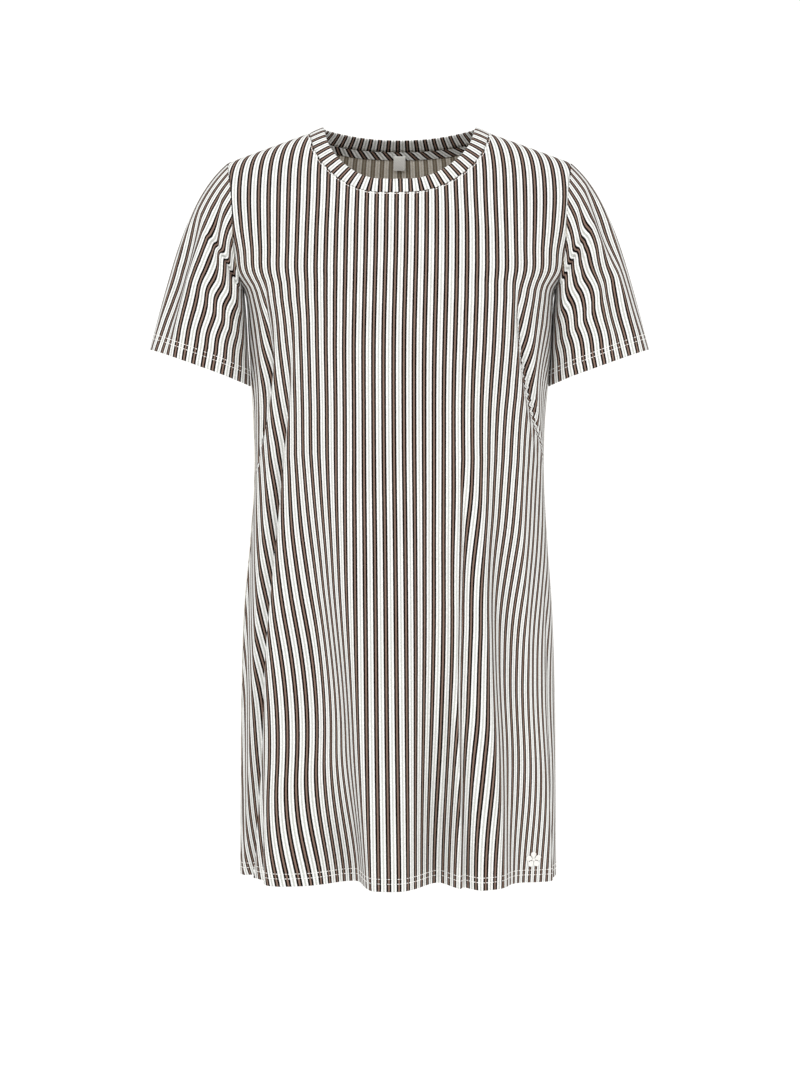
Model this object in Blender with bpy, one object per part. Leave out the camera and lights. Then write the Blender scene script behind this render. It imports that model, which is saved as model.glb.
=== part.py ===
"""A short-sleeved nightshirt in striped jersey, filled out as if worn, with no wearer in it.

Metres, +Z up, front towards -Y. The origin lies midway between the two ends of the neck seam,
level with the top of the neckband, where the garment rests on the shoulders.
Each cut-and-sewn piece is its own closed wall. Both faces of a wall come from one grid of points,
and neighbouring pieces take their shared seam from the same points, so the seams fit all round.
"""

import math
from collections import namedtuple

import bpy
import numpy as np

# Cloth
WALL = 0.0015
SEAM_GAP = 0.0003
HALF_GAP = SEAM_GAP / 2
UP = np.array((0.0, 0.0, 1.0))
SIDEWAYS = np.array((1.0, 0.0, 0.0))

# Shoulders and neck
TOP_HALF_WIDTH = 0.225
SHOULDER_TIP_X = 0.197
SHOULDER_TIP_Z = -0.042
SHOULDER_SLOPE = 0.374
SHOULDER_ROUNDING = 0.030
ROLL_AT_TIP = 0.060
ROLL_AT_CENTRE = 0.140
NECK_HALF_WIDTH = 0.1035
NECK_HALF_DEPTH = 0.075
NECK_LOWEST_X = -0.007
FRONT_NECK_Z = -0.0876
BACK_NECK_Z = -0.0150
BACK_NECK_POWER = 3

# Body
ARMPIT_Z = -0.190
HEM_Z = -0.8585
SQUARENESS = 2.3
FOLD_RADIUS = 0.150
HEM_DROP = 0.08
HEM_DROP_HEIGHT = 0.25
SEAM_CALM_DEG = 12.0

# Neckband and what lies inside the back neck
BAND_WIDTH = 0.0175
BAND_THICKNESS = 0.0024
TAPE_WIDTH = 0.0115
TAPE_THICKNESS = 0.0010
TAPE_GAP = 0.0006
TAPE_INSET = 2
TAPE_DRAWN_IN = 0.05
TAB_WIDTH = 0.014
TAB_LENGTH = 0.017
TAB_THICKNESS = 0.0010
TAB_GAP = 0.0005
TAB_BELOW_SEAM = 0.004
TAB_HANG = np.array((0.0, 0.35, -0.94))

# Sleeves
CUFF_OUTER = (0.287, -0.2565)
CUFF_INNER = (0.1716, -0.2985)
CUFF_HALF_DEPTH = 0.040
CUFF_BACK_RISE = 0.011
UPPER_START_DEG = 39.0
UNDER_START_DEG = 91.0
UPPER_END_DEG = 75.0
UNDER_END_DEG = 95.0
UPPER_START_PULL = 0.060
UPPER_END_PULL = 0.100
UNDER_PULL = 0.035
SLOPE_POWER = 0.8
FOLD_FREE_LENGTH = 0.12

# Grid sizes: rows run up a panel, columns across it
BODY_ROWS = 17
ARMHOLE_ROWS = 9
SHOULDER_COLUMNS = 9
FRONT_NECK_COLUMNS = 26
BACK_NECK_COLUMNS = 18
SLEEVE_ROWS = 13
CORNER_SPREAD = 2
LEVEL_ROWS = 8
PROBE = 0.0005

# An edge of 1 brings the cloth to the side at an angle, and one of 0.4 brings it round
Ring = namedtuple("Ring", "z half_width centre_x front_depth back_depth left_edge right_edge")
BODY_RINGS = (
    Ring(0.030, 0.2250, 0.0000, 0.043, 0.104, 0.43, 0.43),
    Ring(0.000, 0.2250, 0.0000, 0.052, 0.104, 0.43, 0.43),
    Ring(-0.050, 0.2250, 0.0000, 0.066, 0.101, 0.43, 0.43),
    Ring(-0.088, 0.2240, 0.0000, 0.081, 0.101, 0.43, 0.43),
    Ring(-0.120, 0.2140, 0.0000, 0.090, 0.102, 0.43, 0.43),
    Ring(-0.150, 0.2000, 0.0000, 0.096, 0.102, 0.44, 0.44),
    Ring(-0.172, 0.1930, 0.0000, 0.100, 0.102, 0.45, 0.44),
    Ring(-0.190, 0.1785, 0.0000, 0.102, 0.101, 0.48, 0.46),
    Ring(-0.207, 0.1757, 0.0005, 0.104, 0.100, 0.56, 0.48),
    Ring(-0.225, 0.1745, 0.0006, 0.105, 0.099, 0.68, 0.51),
    Ring(-0.260, 0.1723, 0.0006, 0.106, 0.096, 0.82, 0.54),
    Ring(-0.300, 0.1695, 0.0002, 0.103, 0.093, 0.88, 0.56),
    Ring(-0.340, 0.1673, -0.0004, 0.098, 0.091, 0.90, 0.56),
    Ring(-0.390, 0.1660, -0.0003, 0.093, 0.090, 0.90, 0.56),
    Ring(-0.475, 0.1705, -0.0008, 0.092, 0.094, 0.90, 0.54),
    Ring(-0.545, 0.1762, -0.0015, 0.098, 0.100, 0.90, 0.54),
    Ring(-0.660, 0.1800, -0.0015, 0.106, 0.106, 0.90, 0.52),
    Ring(-0.770, 0.1808, -0.0015, 0.112, 0.108, 0.85, 0.50),
    Ring(-0.860, 0.1814, -0.0016, 0.116, 0.106, 0.80, 0.50),
)

Armhole = namedtuple("Armhole", "z front_x back_x")
ARMHOLE_LINE = (
    Armhole(-0.042, 0.197, 0.197),
    Armhole(-0.060, 0.194, 0.196),
    Armhole(-0.085, 0.190, 0.195),
    Armhole(-0.115, 0.188, 0.193),
    Armhole(-0.144, 0.187, 0.190),
    Armhole(-0.165, 0.184, 0.186),
    Armhole(-0.190, 0.1785, 0.1785),
)

# Share of the way from the lowest point to the shoulder, and share of the rise reached there
Neckline = namedtuple("Neckline", "across up")
FRONT_NECKLINE = (
    Neckline(0.00, 0.000),
    Neckline(0.32, 0.030),
    Neckline(0.47, 0.095),
    Neckline(0.61, 0.200),
    Neckline(0.75, 0.355),
    Neckline(0.87, 0.550),
    Neckline(0.95, 0.760),
    Neckline(1.00, 1.000),
)

# A fold fades in at its top, passes its middle and runs out at its bottom. Height is outwards.
Fold = namedtuple(
    "Fold", "z_top x_top z_middle x_middle h_middle z_bottom x_bottom h_bottom left_width right_width"
)
FRONT_FOLDS = (
    Fold(-0.20, -0.118, -0.38, -0.138, -0.008, -0.86, -0.172, -0.016, 0.022, 0.014),
    Fold(-0.34, -0.100, -0.60, -0.102, -0.020, -0.84, -0.085, -0.004, 0.045, 0.050),
    Fold(-0.42, -0.142, -0.66, -0.142, 0.007, -0.86, -0.136, 0.016, 0.024, 0.044),
    Fold(-0.19, -0.148, -0.29, -0.150, -0.006, -0.385, -0.164, 0.000, 0.020, 0.014),
    Fold(-0.52, -0.078, -0.70, -0.070, -0.012, -0.86, -0.059, -0.036, 0.044, 0.024),
    Fold(-0.45, -0.020, -0.65, -0.012, 0.003, -0.86, -0.008, 0.008, 0.035, 0.040),
    Fold(-0.34, 0.050, -0.54, 0.052, -0.014, -0.86, 0.052, -0.033, 0.040, 0.014),
    Fold(-0.40, 0.084, -0.66, 0.086, 0.003, -0.86, 0.088, 0.010, 0.013, 0.048),
    Fold(-0.26, 0.112, -0.58, 0.124, -0.018, -0.86, 0.139, -0.009, 0.036, 0.030),
    Fold(-0.44, 0.158, -0.66, 0.160, 0.004, -0.86, 0.166, 0.006, 0.022, 0.020),
    Fold(-0.18, 0.133, -0.29, 0.144, -0.005, -0.41, 0.164, 0.000, 0.014, 0.020),
)
BACK_FOLDS = (
    Fold(-0.21, -0.128, -0.40, -0.136, -0.014, -0.86, -0.150, -0.024, 0.032, 0.020),
    Fold(-0.30, -0.095, -0.55, -0.104, 0.008, -0.86, -0.110, 0.016, 0.030, 0.038),
    Fold(-0.44, -0.062, -0.66, -0.060, -0.012, -0.86, -0.052, -0.034, 0.040, 0.026),
    Fold(-0.20, -0.030, -0.42, -0.020, -0.007, -0.66, -0.014, 0.000, 0.040, 0.034),
    Fold(-0.52, 0.000, -0.70, 0.006, 0.006, -0.86, 0.010, 0.014, 0.036, 0.034),
    Fold(-0.40, 0.060, -0.62, 0.064, -0.014, -0.86, 0.070, -0.036, 0.028, 0.044),
    Fold(-0.28, 0.096, -0.50, 0.108, 0.007, -0.86, 0.118, 0.017, 0.036, 0.026),
    Fold(-0.19, 0.134, -0.38, 0.140, -0.015, -0.86, 0.154, -0.022, 0.020, 0.034),
)

# Round a sleeve, 0 degrees is the line from the shoulder, 90 the front, 180 the underarm.
# Along it, 0 is the armhole and 1 the cuff.
SleeveFold = namedtuple("SleeveFold", "deg_start along_start deg_end along_end height width_deg")
LEFT_SLEEVE_FOLDS = (
    SleeveFold(52, 0.10, 96, 0.46, -0.006, 20),
    SleeveFold(84, 0.00, 128, 0.50, 0.004, 24),
    SleeveFold(36, 0.30, 44, 1.10, -0.007, 24),
    SleeveFold(120, 0.30, 112, 1.10, 0.004, 26),
    SleeveFold(-60, 0.08, -104, 0.50, -0.006, 22),
    SleeveFold(-44, 0.35, -50, 1.10, -0.006, 24),
)
RIGHT_SLEEVE_FOLDS = (
    SleeveFold(56, 0.12, 104, 0.50, -0.006, 20),
    SleeveFold(26, 0.14, 40, 0.62, -0.005, 22),
    SleeveFold(62, 0.40, 58, 1.10, -0.006, 26),
    SleeveFold(118, 0.30, 122, 1.10, 0.004, 24),
    SleeveFold(-64, 0.08, -100, 0.46, -0.006, 22),
    SleeveFold(-40, 0.30, -56, 1.10, -0.006, 24),
)

# Direction of the neckband away from its seam: at the front, at the shoulders and at the back
BAND_LEAN_FRONT = np.array((0.0, 0.37, 0.93))
BAND_LEAN_SIDE = np.array((0.91, 0.0, 0.41))
BAND_LEAN_BACK = np.array((0.0, -0.80, 0.60))

# Neckband section: share of its width from the seam, and depth under its outer face
BAND_SECTION = (
    (0.00, 0.0000),
    (0.50, -0.0003),
    (0.94, 0.0001),
    (1.00, 0.0008),
    (1.00, 0.0016),
    (0.94, 0.0023),
    (0.50, 0.0026),
    (0.00, BAND_THICKNESS),
)

CLOTH_COLOUR = (0.445, 0.397, 0.371)
BAND_COLOUR = (0.420, 0.370, 0.345)
TAB_COLOUR = (0.860, 0.850, 0.820)
CLOTH_ROUGHNESS = 0.85
SHARP_DEG = 50.0


def clear_scene():
    for item in list(bpy.data.objects):
        bpy.data.objects.remove(item)


def smoothstep(value, low=0.0, high=1.0):
    share = np.clip((value - low) / (high - low), 0.0, 1.0)
    return share * share * (3.0 - 2.0 * share)


def unit(vectors):
    return vectors / np.linalg.norm(vectors, axis=-1, keepdims=True)


def curve_through(knots, values, at):
    """Smooth curve through a table's rows, read at one or many places. Its knots rise."""
    knots, values, at = (np.asarray(item, float) for item in (knots, values, at))
    slopes = np.gradient(values, knots)
    at = np.clip(at, knots[0], knots[-1])
    index = np.clip(np.searchsorted(knots, at, side="right") - 1, 0, len(knots) - 2)
    span = knots[index + 1] - knots[index]
    t = (at - knots[index]) / span
    return (
        values[index] * (1 + 2 * t) * (1 - t) ** 2
        + slopes[index] * span * t * (1 - t) ** 2
        + values[index + 1] * t * t * (3 - 2 * t)
        + slopes[index + 1] * span * t * t * (t - 1)
    )


def column(table, name, at, key="z"):
    """One column of a table as a smooth curve of another, its key."""
    rows = sorted(table, key=lambda row: getattr(row, key))
    return curve_through([getattr(row, key) for row in rows], [getattr(row, name) for row in rows], at)


# Body form

def rounded(x):
    """Distance from the centre line, rounded off at the centre."""
    return np.sqrt(x * x + SHOULDER_ROUNDING ** 2)


def shoulder_height(x):
    return SHOULDER_TIP_Z + SHOULDER_SLOPE * (rounded(SHOULDER_TIP_X) - rounded(x))


def roll_radius(x):
    """How far down the cloth turns over from the shoulder line to hanging."""
    whole = rounded(SHOULDER_TIP_X) - rounded(0.0)
    share = (rounded(SHOULDER_TIP_X) - rounded(x)) / whole
    return ROLL_AT_TIP + (ROLL_AT_CENTRE - ROLL_AT_TIP) * share


def angle_at(x, z):
    """Ring angle of a place x on the ring at height z, 0 at the centre and a right angle at the side."""
    share = np.clip((x - column(BODY_RINGS, "centre_x", z)) / column(BODY_RINGS, "half_width", z), -1, 1)
    return np.sign(share) * np.arcsin(np.abs(share) ** (SQUARENESS / 2))


def ring_share(angle):
    sine = np.sin(angle)
    return np.sign(sine) * np.abs(sine) ** (2 / SQUARENESS)


def drop_at(angle, z):
    """Distance down the cloth from the shoulder line to height z."""
    top_x = TOP_HALF_WIDTH * ring_share(angle)
    radius = roll_radius(top_x)
    below = shoulder_height(top_x) - z
    rolled = radius * np.arccos(np.clip(1 - below / radius, 0.0, 1.0))
    return np.where(below < radius, rolled, radius * math.pi / 2 + below - radius)


def fold_outward(folds, angle, z):
    """Sum of the folds' heights at a place on a panel."""
    total = np.zeros(np.broadcast(angle, z).shape)
    for fold in folds:
        stations = (fold.z_bottom, fold.z_middle, fold.z_top)
        reach = np.clip(z, fold.z_bottom, fold.z_top)
        x = curve_through(stations, (fold.x_bottom, fold.x_middle, fold.x_top), reach)
        above = fold.h_middle * smoothstep(fold.z_top - z, 0.0, fold.z_top - fold.z_middle)
        below = (fold.h_bottom - fold.h_middle) * smoothstep(
            fold.z_middle - z, 0.0, fold.z_middle - fold.z_bottom
        )
        offset = (angle - angle_at(x, reach)) * FOLD_RADIUS
        width = np.where(offset < 0, fold.left_width, fold.right_width)
        across = np.clip(1 - (offset / width) ** 2, 0.0, 1.0) ** 2
        total += across * (above + below)
    calm = smoothstep(math.pi / 2 - np.abs(angle), 0.0, math.radians(SEAM_CALM_DEG))
    return total * calm


def body_points(angle, drop, side):
    """Outer face of the body. side is -1 for the front and 1 for the back."""
    share = ring_share(angle)
    top_x = TOP_HALF_WIDTH * share
    radius = roll_radius(top_x)
    turned = np.clip(drop / radius, 0.0, math.pi / 2)
    z = shoulder_height(top_x) - radius * (1 - np.cos(turned)) - np.clip(
        drop - radius * math.pi / 2, 0.0, None
    )
    depth = column(BODY_RINGS, "front_depth" if side < 0 else "back_depth", z)
    edge = np.where(angle < 0, column(BODY_RINGS, "left_edge", z), column(BODY_RINGS, "right_edge", z))
    bow = np.clip(1 - np.abs(share) ** SQUARENESS, 0.0, 1.0) ** edge
    x = column(BODY_RINGS, "half_width", z) * share + column(BODY_RINGS, "centre_x", z)
    y = side * depth * bow * np.sin(turned)
    folds = FRONT_FOLDS if side < 0 else BACK_FOLDS
    outward = fold_outward(folds, angle, z)
    near_hem = smoothstep(HEM_Z + HEM_DROP_HEIGHT - z, 0.0, HEM_DROP_HEIGHT)
    moved_x = x + outward * np.sin(angle)
    moved_y = y + side * outward * np.cos(angle)
    return np.stack([moved_x, moved_y, z - HEM_DROP * outward * near_hem], axis=-1)


# Panel outlines, as ring angles and drops

def front_neck_height(x):
    reach = np.where(x < NECK_LOWEST_X, NECK_HALF_WIDTH + NECK_LOWEST_X, NECK_HALF_WIDTH - NECK_LOWEST_X)
    across = np.abs(x - NECK_LOWEST_X) / reach
    rise = shoulder_height(NECK_HALF_WIDTH) - FRONT_NECK_Z
    return FRONT_NECK_Z + rise * column(FRONT_NECKLINE, "up", across, key="across")


def back_neck_height(x):
    rise = shoulder_height(NECK_HALF_WIDTH) - BACK_NECK_Z
    return BACK_NECK_Z + rise * (np.abs(x) / NECK_HALF_WIDTH) ** BACK_NECK_POWER


def place(x, z):
    """Ring angle and drop of a point of an outline, given by where it lies from in front."""
    angle = angle_at(x, z)
    return np.stack([angle, drop_at(angle, z)], axis=-1)


def top_outline(side):
    """From the left shoulder tip over the neckline to the right shoulder tip."""
    shoulder = np.linspace(SHOULDER_TIP_X, NECK_HALF_WIDTH, SHOULDER_COLUMNS + 1)
    columns = FRONT_NECK_COLUMNS if side < 0 else BACK_NECK_COLUMNS
    turn = np.linspace(-math.pi / 2, math.pi / 2, columns + 1)[1:-1]
    neck_x = NECK_HALF_WIDTH * np.sin(turn)
    neck_z = front_neck_height(neck_x) if side < 0 else back_neck_height(neck_x)
    x = np.concatenate([-shoulder, neck_x, shoulder[::-1]])
    shoulder_z = shoulder_height(shoulder)
    z = np.concatenate([shoulder_z, neck_z, shoulder_z[::-1]])
    outline = place(x, z)
    outline[:len(shoulder), 1] = 0.0
    outline[-len(shoulder):, 1] = 0.0
    return outline


def spread(headings):
    """Headings averaged with their neighbours, so that they fan out round the neck's corners."""
    padded = np.pad(headings, ((CORNER_SPREAD, CORNER_SPREAD), (0, 0)), mode="edge")
    shifts = range(2 * CORNER_SPREAD + 1)
    return unit(sum(padded[shift:shift + len(headings)] for shift in shifts))


def below_top(outline, side):
    """The top outline moved down the cloth by the width of the neck tape."""
    points = body_points(outline[:, 0], outline[:, 1], side)
    across = body_points(outline[:, 0] + PROBE, outline[:, 1], side) - points
    down = body_points(outline[:, 0], outline[:, 1] + PROBE, side) - points
    along = unit(np.gradient(points, axis=0))
    heading = np.cross(along, unit(np.cross(across, down)))
    heading = np.where((heading * down).sum(-1, keepdims=True) < 0, -heading, heading)
    heading = spread(heading)
    steps = np.zeros_like(outline)
    for index in range(1, len(outline) - 1):
        basis = np.stack([across[index], down[index]], axis=-1)
        steps[index] = np.linalg.lstsq(basis, heading[index] * TAPE_WIDTH, rcond=None)[0] * PROBE
    return outline + steps


def side_outline(side, hand):
    """From the hem up the side seam and round the armhole to the shoulder tip. hand is -1 for left."""
    seam_z = np.linspace(HEM_Z, ARMPIT_Z, BODY_ROWS + 1)
    seam = np.stack([np.full(len(seam_z), hand * math.pi / 2), drop_at(hand * math.pi / 2, seam_z)], axis=-1)
    height = SHOULDER_TIP_Z - ARMPIT_Z
    next_to_tip = height - ROLL_AT_TIP * (1 - math.cos(TAPE_WIDTH / ROLL_AT_TIP))
    last_turn = math.acos(1 - 2 * next_to_tip / height)
    turn = np.linspace(0.0, last_turn, ARMHOLE_ROWS)[1:]
    armhole_z = np.append(ARMPIT_Z + height * (1 - np.cos(turn)) / 2, SHOULDER_TIP_Z)
    x = hand * column(ARMHOLE_LINE, "front_x" if side < 0 else "back_x", armhole_z)
    return np.concatenate([seam, place(x, armhole_z)])


def panel_places(side):
    """Grid of ring angles and drops, rows from the hem up, columns from left to right."""
    top = top_outline(side)
    second = below_top(top, side)
    left = side_outline(side, -1)
    right = side_outline(side, 1)
    second[0], second[-1] = left[-2], right[-2]
    columns = len(top)
    across = np.linspace(0.0, 1.0, columns)[None, :, None]
    hem_angle = np.linspace(-math.pi / 2, math.pi / 2, columns)
    hem = np.stack([hem_angle, drop_at(hem_angle, np.full(columns, HEM_Z))], axis=-1)
    climbed = left[0, 1] - left[:-1, 1]
    up = ((climbed / climbed[-1]) ** LEVEL_ROWS)[:, None, None]
    ends = left[:-1, None] * (1 - across) + right[:-1, None] * across
    hem_bend = hem - (hem[0] * (1 - across[0]) + hem[-1] * across[0])
    top_bend = second - (second[0] * (1 - across[0]) + second[-1] * across[0])
    grid = ends + (1 - up) * hem_bend[None] + up * top_bend[None]
    return np.concatenate([grid, top[None]])


# Walls

def grid_normals(points, ring=False):
    """Outward normals of a grid whose rows run up and whose columns run to the right seen from outside."""
    if ring:
        across = np.roll(points, -1, axis=1) - np.roll(points, 1, axis=1)
    else:
        across = np.gradient(points, axis=1)
    up = np.gradient(points, axis=0)
    return unit(np.cross(across, up))


def grid_triangles(points, ring):
    """Two triangles to a cell, split along the cell's shorter diagonal."""
    rows, columns = points.shape[:2]
    faces = []
    for row in range(rows - 1):
        for col in range(columns if ring else columns - 1):
            nxt = (col + 1) % columns
            a, b = row * columns + col, row * columns + nxt
            c, d = (row + 1) * columns + nxt, (row + 1) * columns + col
            rising = np.linalg.norm(points[row, col] - points[row + 1, nxt])
            falling = np.linalg.norm(points[row, nxt] - points[row + 1, col])
            faces += [(a, b, c), (a, c, d)] if rising < falling else [(a, b, d), (b, c, d)]
    return faces


def border_loops(rows, columns, ring):
    """The grid's open edges, each as indices in the order that its cells run."""
    bottom = list(range(columns))
    top = [(rows - 1) * columns + col for col in range(columns)]
    if ring:
        return [bottom + bottom[:1], top[::-1] + top[-1:]]
    right = [row * columns + columns - 1 for row in range(rows)]
    left = [row * columns for row in range(rows)]
    return [bottom + right[1:] + top[::-1][1:] + left[::-1][1:]]


def wall_object(name, outer, inner, colour, ring=False):
    """A closed wall between an outer and an inner grid of the same shape."""
    rows, columns = outer.shape[:2]
    count = rows * columns
    faces = grid_triangles(outer, ring)
    faces += [tuple(index + count for index in reversed(face)) for face in faces]
    for loop in border_loops(rows, columns, ring):
        for start, end in zip(loop, loop[1:]):
            faces.append((start, start + count, end + count, end))
    vertices = np.concatenate([outer.reshape(-1, 3), inner.reshape(-1, 3)])
    return mesh_object(name, vertices, faces, colour)


def mesh_object(name, vertices, faces, colour):
    mesh = bpy.data.meshes.new(name)
    mesh.from_pydata([tuple(point) for point in vertices], [], faces)
    mesh.shade_smooth()
    mesh.set_sharp_from_angle(angle=math.radians(SHARP_DEG))
    mesh.materials.append(cloth_material(name, colour))
    made = bpy.data.objects.new(name, mesh)
    bpy.context.scene.collection.objects.link(made)
    return made


def cloth_material(name, colour):
    material = bpy.data.materials.new(name + "_cloth")
    material.use_nodes = True
    shader = material.node_tree.nodes["Principled BSDF"]
    shader.inputs["Base Color"].default_value = (*colour, 1.0)
    shader.inputs["Roughness"].default_value = CLOTH_ROUGHNESS
    shader.inputs["Metallic"].default_value = 0.0
    return material


# Seams: at each point of a seam, the direction through the wall and the direction across the seam

def armhole_normals(points):
    """Directions through the wall round an armhole, from the seam's inside to its outside."""
    along = unit(np.roll(points, -1, axis=0) - np.roll(points, 1, axis=0))
    return unit(np.cross(along, -SIDEWAYS))


def band_lean(points):
    """Which way the neckband stands away from its seam, round the neck."""
    turn = np.arctan2(points[:, 0] / NECK_HALF_WIDTH, -points[:, 1] / NECK_HALF_DEPTH)
    frontness = np.clip(np.cos(turn), 0.0, 1.0)[:, None] ** 2
    backness = np.clip(-np.cos(turn), 0.0, 1.0)[:, None] ** 2
    sideness = 1 - frontness - backness
    inwards = BAND_LEAN_SIDE * np.stack(
        [-np.sign(points[:, 0]), np.ones(len(points)), np.ones(len(points))], axis=-1
    )
    lean = unit(frontness * BAND_LEAN_FRONT + backness * BAND_LEAN_BACK + sideness * inwards)
    along = unit(np.roll(points, -1, axis=0) - np.roll(points, 1, axis=0))
    return unit(lean - (lean * along).sum(-1, keepdims=True) * along)


def neck_frame(front, back):
    """The neck seam as a ring, front from left to right and then back from right to left."""
    front_seam = front[-1, SHOULDER_COLUMNS:-SHOULDER_COLUMNS]
    back_seam = back[-1, SHOULDER_COLUMNS:-SHOULDER_COLUMNS]
    ring = np.concatenate([front_seam, back_seam[::-1][1:-1]])
    lean = band_lean(ring)
    along = unit(np.roll(ring, -1, axis=0) - np.roll(ring, 1, axis=0))
    return ring, lean, unit(np.cross(along, lean))


def armhole_ring(front, back, hand):
    """The armhole from the underarm up the front to the shoulder tip and down the back."""
    edge = 0 if hand < 0 else -1
    up_front = front[BODY_ROWS:, edge]
    down_back = back[BODY_ROWS:, edge][::-1]
    return np.concatenate([up_front, down_back[1:-1]])


class Body:
    """Outer grids of the front and back, with wall directions that agree along their seams."""

    def __init__(self):
        self.outer = {}
        self.normal = {}
        for side in (-1, 1):
            places = panel_places(side)
            points = body_points(places[..., 0], places[..., 1], side)
            self.outer[side] = points
            self.normal[side] = grid_normals(points) * -side
        self.join_sides_and_shoulders()
        self.join_neck()
        self.armholes = {hand: armhole_ring(self.outer[-1], self.outer[1], hand) for hand in (-1, 1)}
        self.join_armholes()

    def join_sides_and_shoulders(self):
        front, back = self.normal[-1], self.normal[1]
        for edge in (0, -1):
            shared = unit(front[:BODY_ROWS, edge] + back[:BODY_ROWS, edge])
            front[:BODY_ROWS, edge] = back[:BODY_ROWS, edge] = shared
        for strip in (slice(0, SHOULDER_COLUMNS), slice(-SHOULDER_COLUMNS, None)):
            front[-1, strip] = back[-1, strip] = UP

    def join_neck(self):
        self.neck, self.lean, self.neck_normal = neck_frame(self.outer[-1], self.outer[1])
        front_count = FRONT_NECK_COLUMNS + 1
        neck = slice(SHOULDER_COLUMNS, -SHOULDER_COLUMNS)
        self.normal[-1][-1, neck] = self.neck_normal[:front_count]
        back_part = np.concatenate([self.neck_normal[front_count - 1:], self.neck_normal[:1]])
        self.normal[1][-1, neck] = back_part[::-1]

    def join_armholes(self):
        for hand, edge in ((-1, 0), (1, -1)):
            normals = armhole_normals(self.armholes[hand])
            self.normal[-1][BODY_ROWS:, edge] = normals[:ARMHOLE_ROWS + 1]
            around_back = np.concatenate([normals[ARMHOLE_ROWS:], normals[:1]])
            self.normal[1][BODY_ROWS:, edge] = around_back[::-1]

    def edge_pull(self, side):
        """How far each point of a panel's edge draws back from its seam line."""
        pull = np.zeros_like(self.outer[side])
        pull[:BODY_ROWS + 1, [0, -1], 1] += side * HALF_GAP
        pull[BODY_ROWS:, 0, 0] += HALF_GAP
        pull[BODY_ROWS:, -1, 0] -= HALF_GAP
        pull[-1, :SHOULDER_COLUMNS + 1, 1] += side * HALF_GAP
        pull[-1, -SHOULDER_COLUMNS - 1:, 1] += side * HALF_GAP
        front_count = FRONT_NECK_COLUMNS + 1
        if side < 0:
            lean = self.lean[:front_count]
        else:
            lean = np.concatenate([self.lean[front_count - 1:], self.lean[:1]])[::-1]
        pull[-1, SHOULDER_COLUMNS:-SHOULDER_COLUMNS] -= lean * HALF_GAP
        return pull

    def faces(self, side):
        outer = self.outer[side] + self.edge_pull(side)
        inner = outer - self.normal[side] * WALL
        return outer, inner


def make_panel(name, body, side):
    outer, inner = body.faces(side)
    if side > 0:
        outer, inner = outer[:, ::-1], inner[:, ::-1]
    return wall_object(name, outer, inner, CLOTH_COLOUR)


# Sleeves

def bezier(start, start_arm, end_arm, end, along):
    t = along[:, None, None]
    return (
        start * (1 - t) ** 3
        + 3 * start_arm * t * (1 - t) ** 2
        + 3 * end_arm * t * t * (1 - t)
        + end * t ** 3
    )


def degrees_round(ring):
    """Where each armhole point lies round the sleeve, by its share of the seam's length."""
    steps = np.linalg.norm(np.roll(ring, -1, axis=0) - ring, axis=1)
    travelled = np.concatenate([[0.0], np.cumsum(steps)[:-1]])
    half = travelled[ARMHOLE_ROWS]
    front = 180 * (1 - travelled / half)
    back = -180 * (travelled - half) / (steps.sum() - half)
    return np.where(travelled <= half, front, back)


def cuff_ring(turn, hand):
    """The open end of a sleeve, an oval square to its outer and inner lines."""
    outer_x, outer_z = CUFF_OUTER
    inner_x, inner_z = CUFF_INNER
    middle = np.array((hand * (outer_x + inner_x) / 2, 0.0, (outer_z + inner_z) / 2))
    reach = np.array((hand * (outer_x - inner_x) / 2, 0.0, (outer_z - inner_z) / 2))
    axis = unit(np.array((hand * reach[2], 0.0, -hand * reach[0])))
    cuff = middle + np.cos(turn)[:, None] * reach
    cuff[:, 1] -= CUFF_HALF_DEPTH * np.sin(turn)
    backness = np.clip(-np.sin(turn), 0.0, 1.0)[:, None]
    return cuff - axis * CUFF_BACK_RISE * backness


def sloping(degrees, hand):
    """Directions that fall outwards at an angle below the level."""
    slope = np.radians(degrees)
    return np.stack([hand * np.cos(slope), np.zeros_like(slope), -np.sin(slope)], axis=-1)


def sleeve_outer(ring, hand, folds):
    """Lengthwise lines from the armhole's points to the cuff's, rows from the armhole to the cuff."""
    degrees = degrees_round(ring)
    turn = np.radians(degrees)
    cuff = cuff_ring(turn, hand)
    upness = np.clip((ring[:, 2] - ARMPIT_Z) / (SHOULDER_TIP_Z - ARMPIT_Z), 0.0, 1.0) ** SLOPE_POWER
    outness = (1 + np.cos(turn)) / 2
    start = sloping(UNDER_START_DEG + (UPPER_START_DEG - UNDER_START_DEG) * upness, hand)
    end = sloping(UNDER_END_DEG + (UPPER_END_DEG - UNDER_END_DEG) * outness, hand)
    start_pull = (UNDER_PULL + (UPPER_START_PULL - UNDER_PULL) * outness)[:, None]
    end_pull = (UNDER_PULL + (UPPER_END_PULL - UNDER_PULL) * outness)[:, None]
    along = np.linspace(0.0, 1.0, SLEEVE_ROWS + 1)
    points = bezier(ring, ring + start * start_pull, cuff - end * end_pull, cuff, along)
    outward = sleeve_folds(folds, degrees[None, :], along[:, None])
    return points + outward[..., None] * sleeve_normals(points, hand)


def sleeve_folds(folds, degrees, along):
    total = np.zeros(np.broadcast(degrees, along).shape)
    for fold in folds:
        travelled = np.clip((along - fold.along_start) / (fold.along_end - fold.along_start), 0.0, 1.0)
        path = fold.deg_start + (fold.deg_end - fold.deg_start) * travelled
        across = np.clip(1 - ((degrees - path) / fold.width_deg) ** 2, 0.0, 1.0) ** 2
        total += fold.height * across * np.sin(math.pi * travelled)
    return total * smoothstep(along, 0.0, FOLD_FREE_LENGTH)


def sleeve_normals(points, hand):
    """Outward normals of a sleeve grid, rows down the arm and columns from the underarm to the front."""
    return grid_normals(points, ring=True) * -hand


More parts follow.
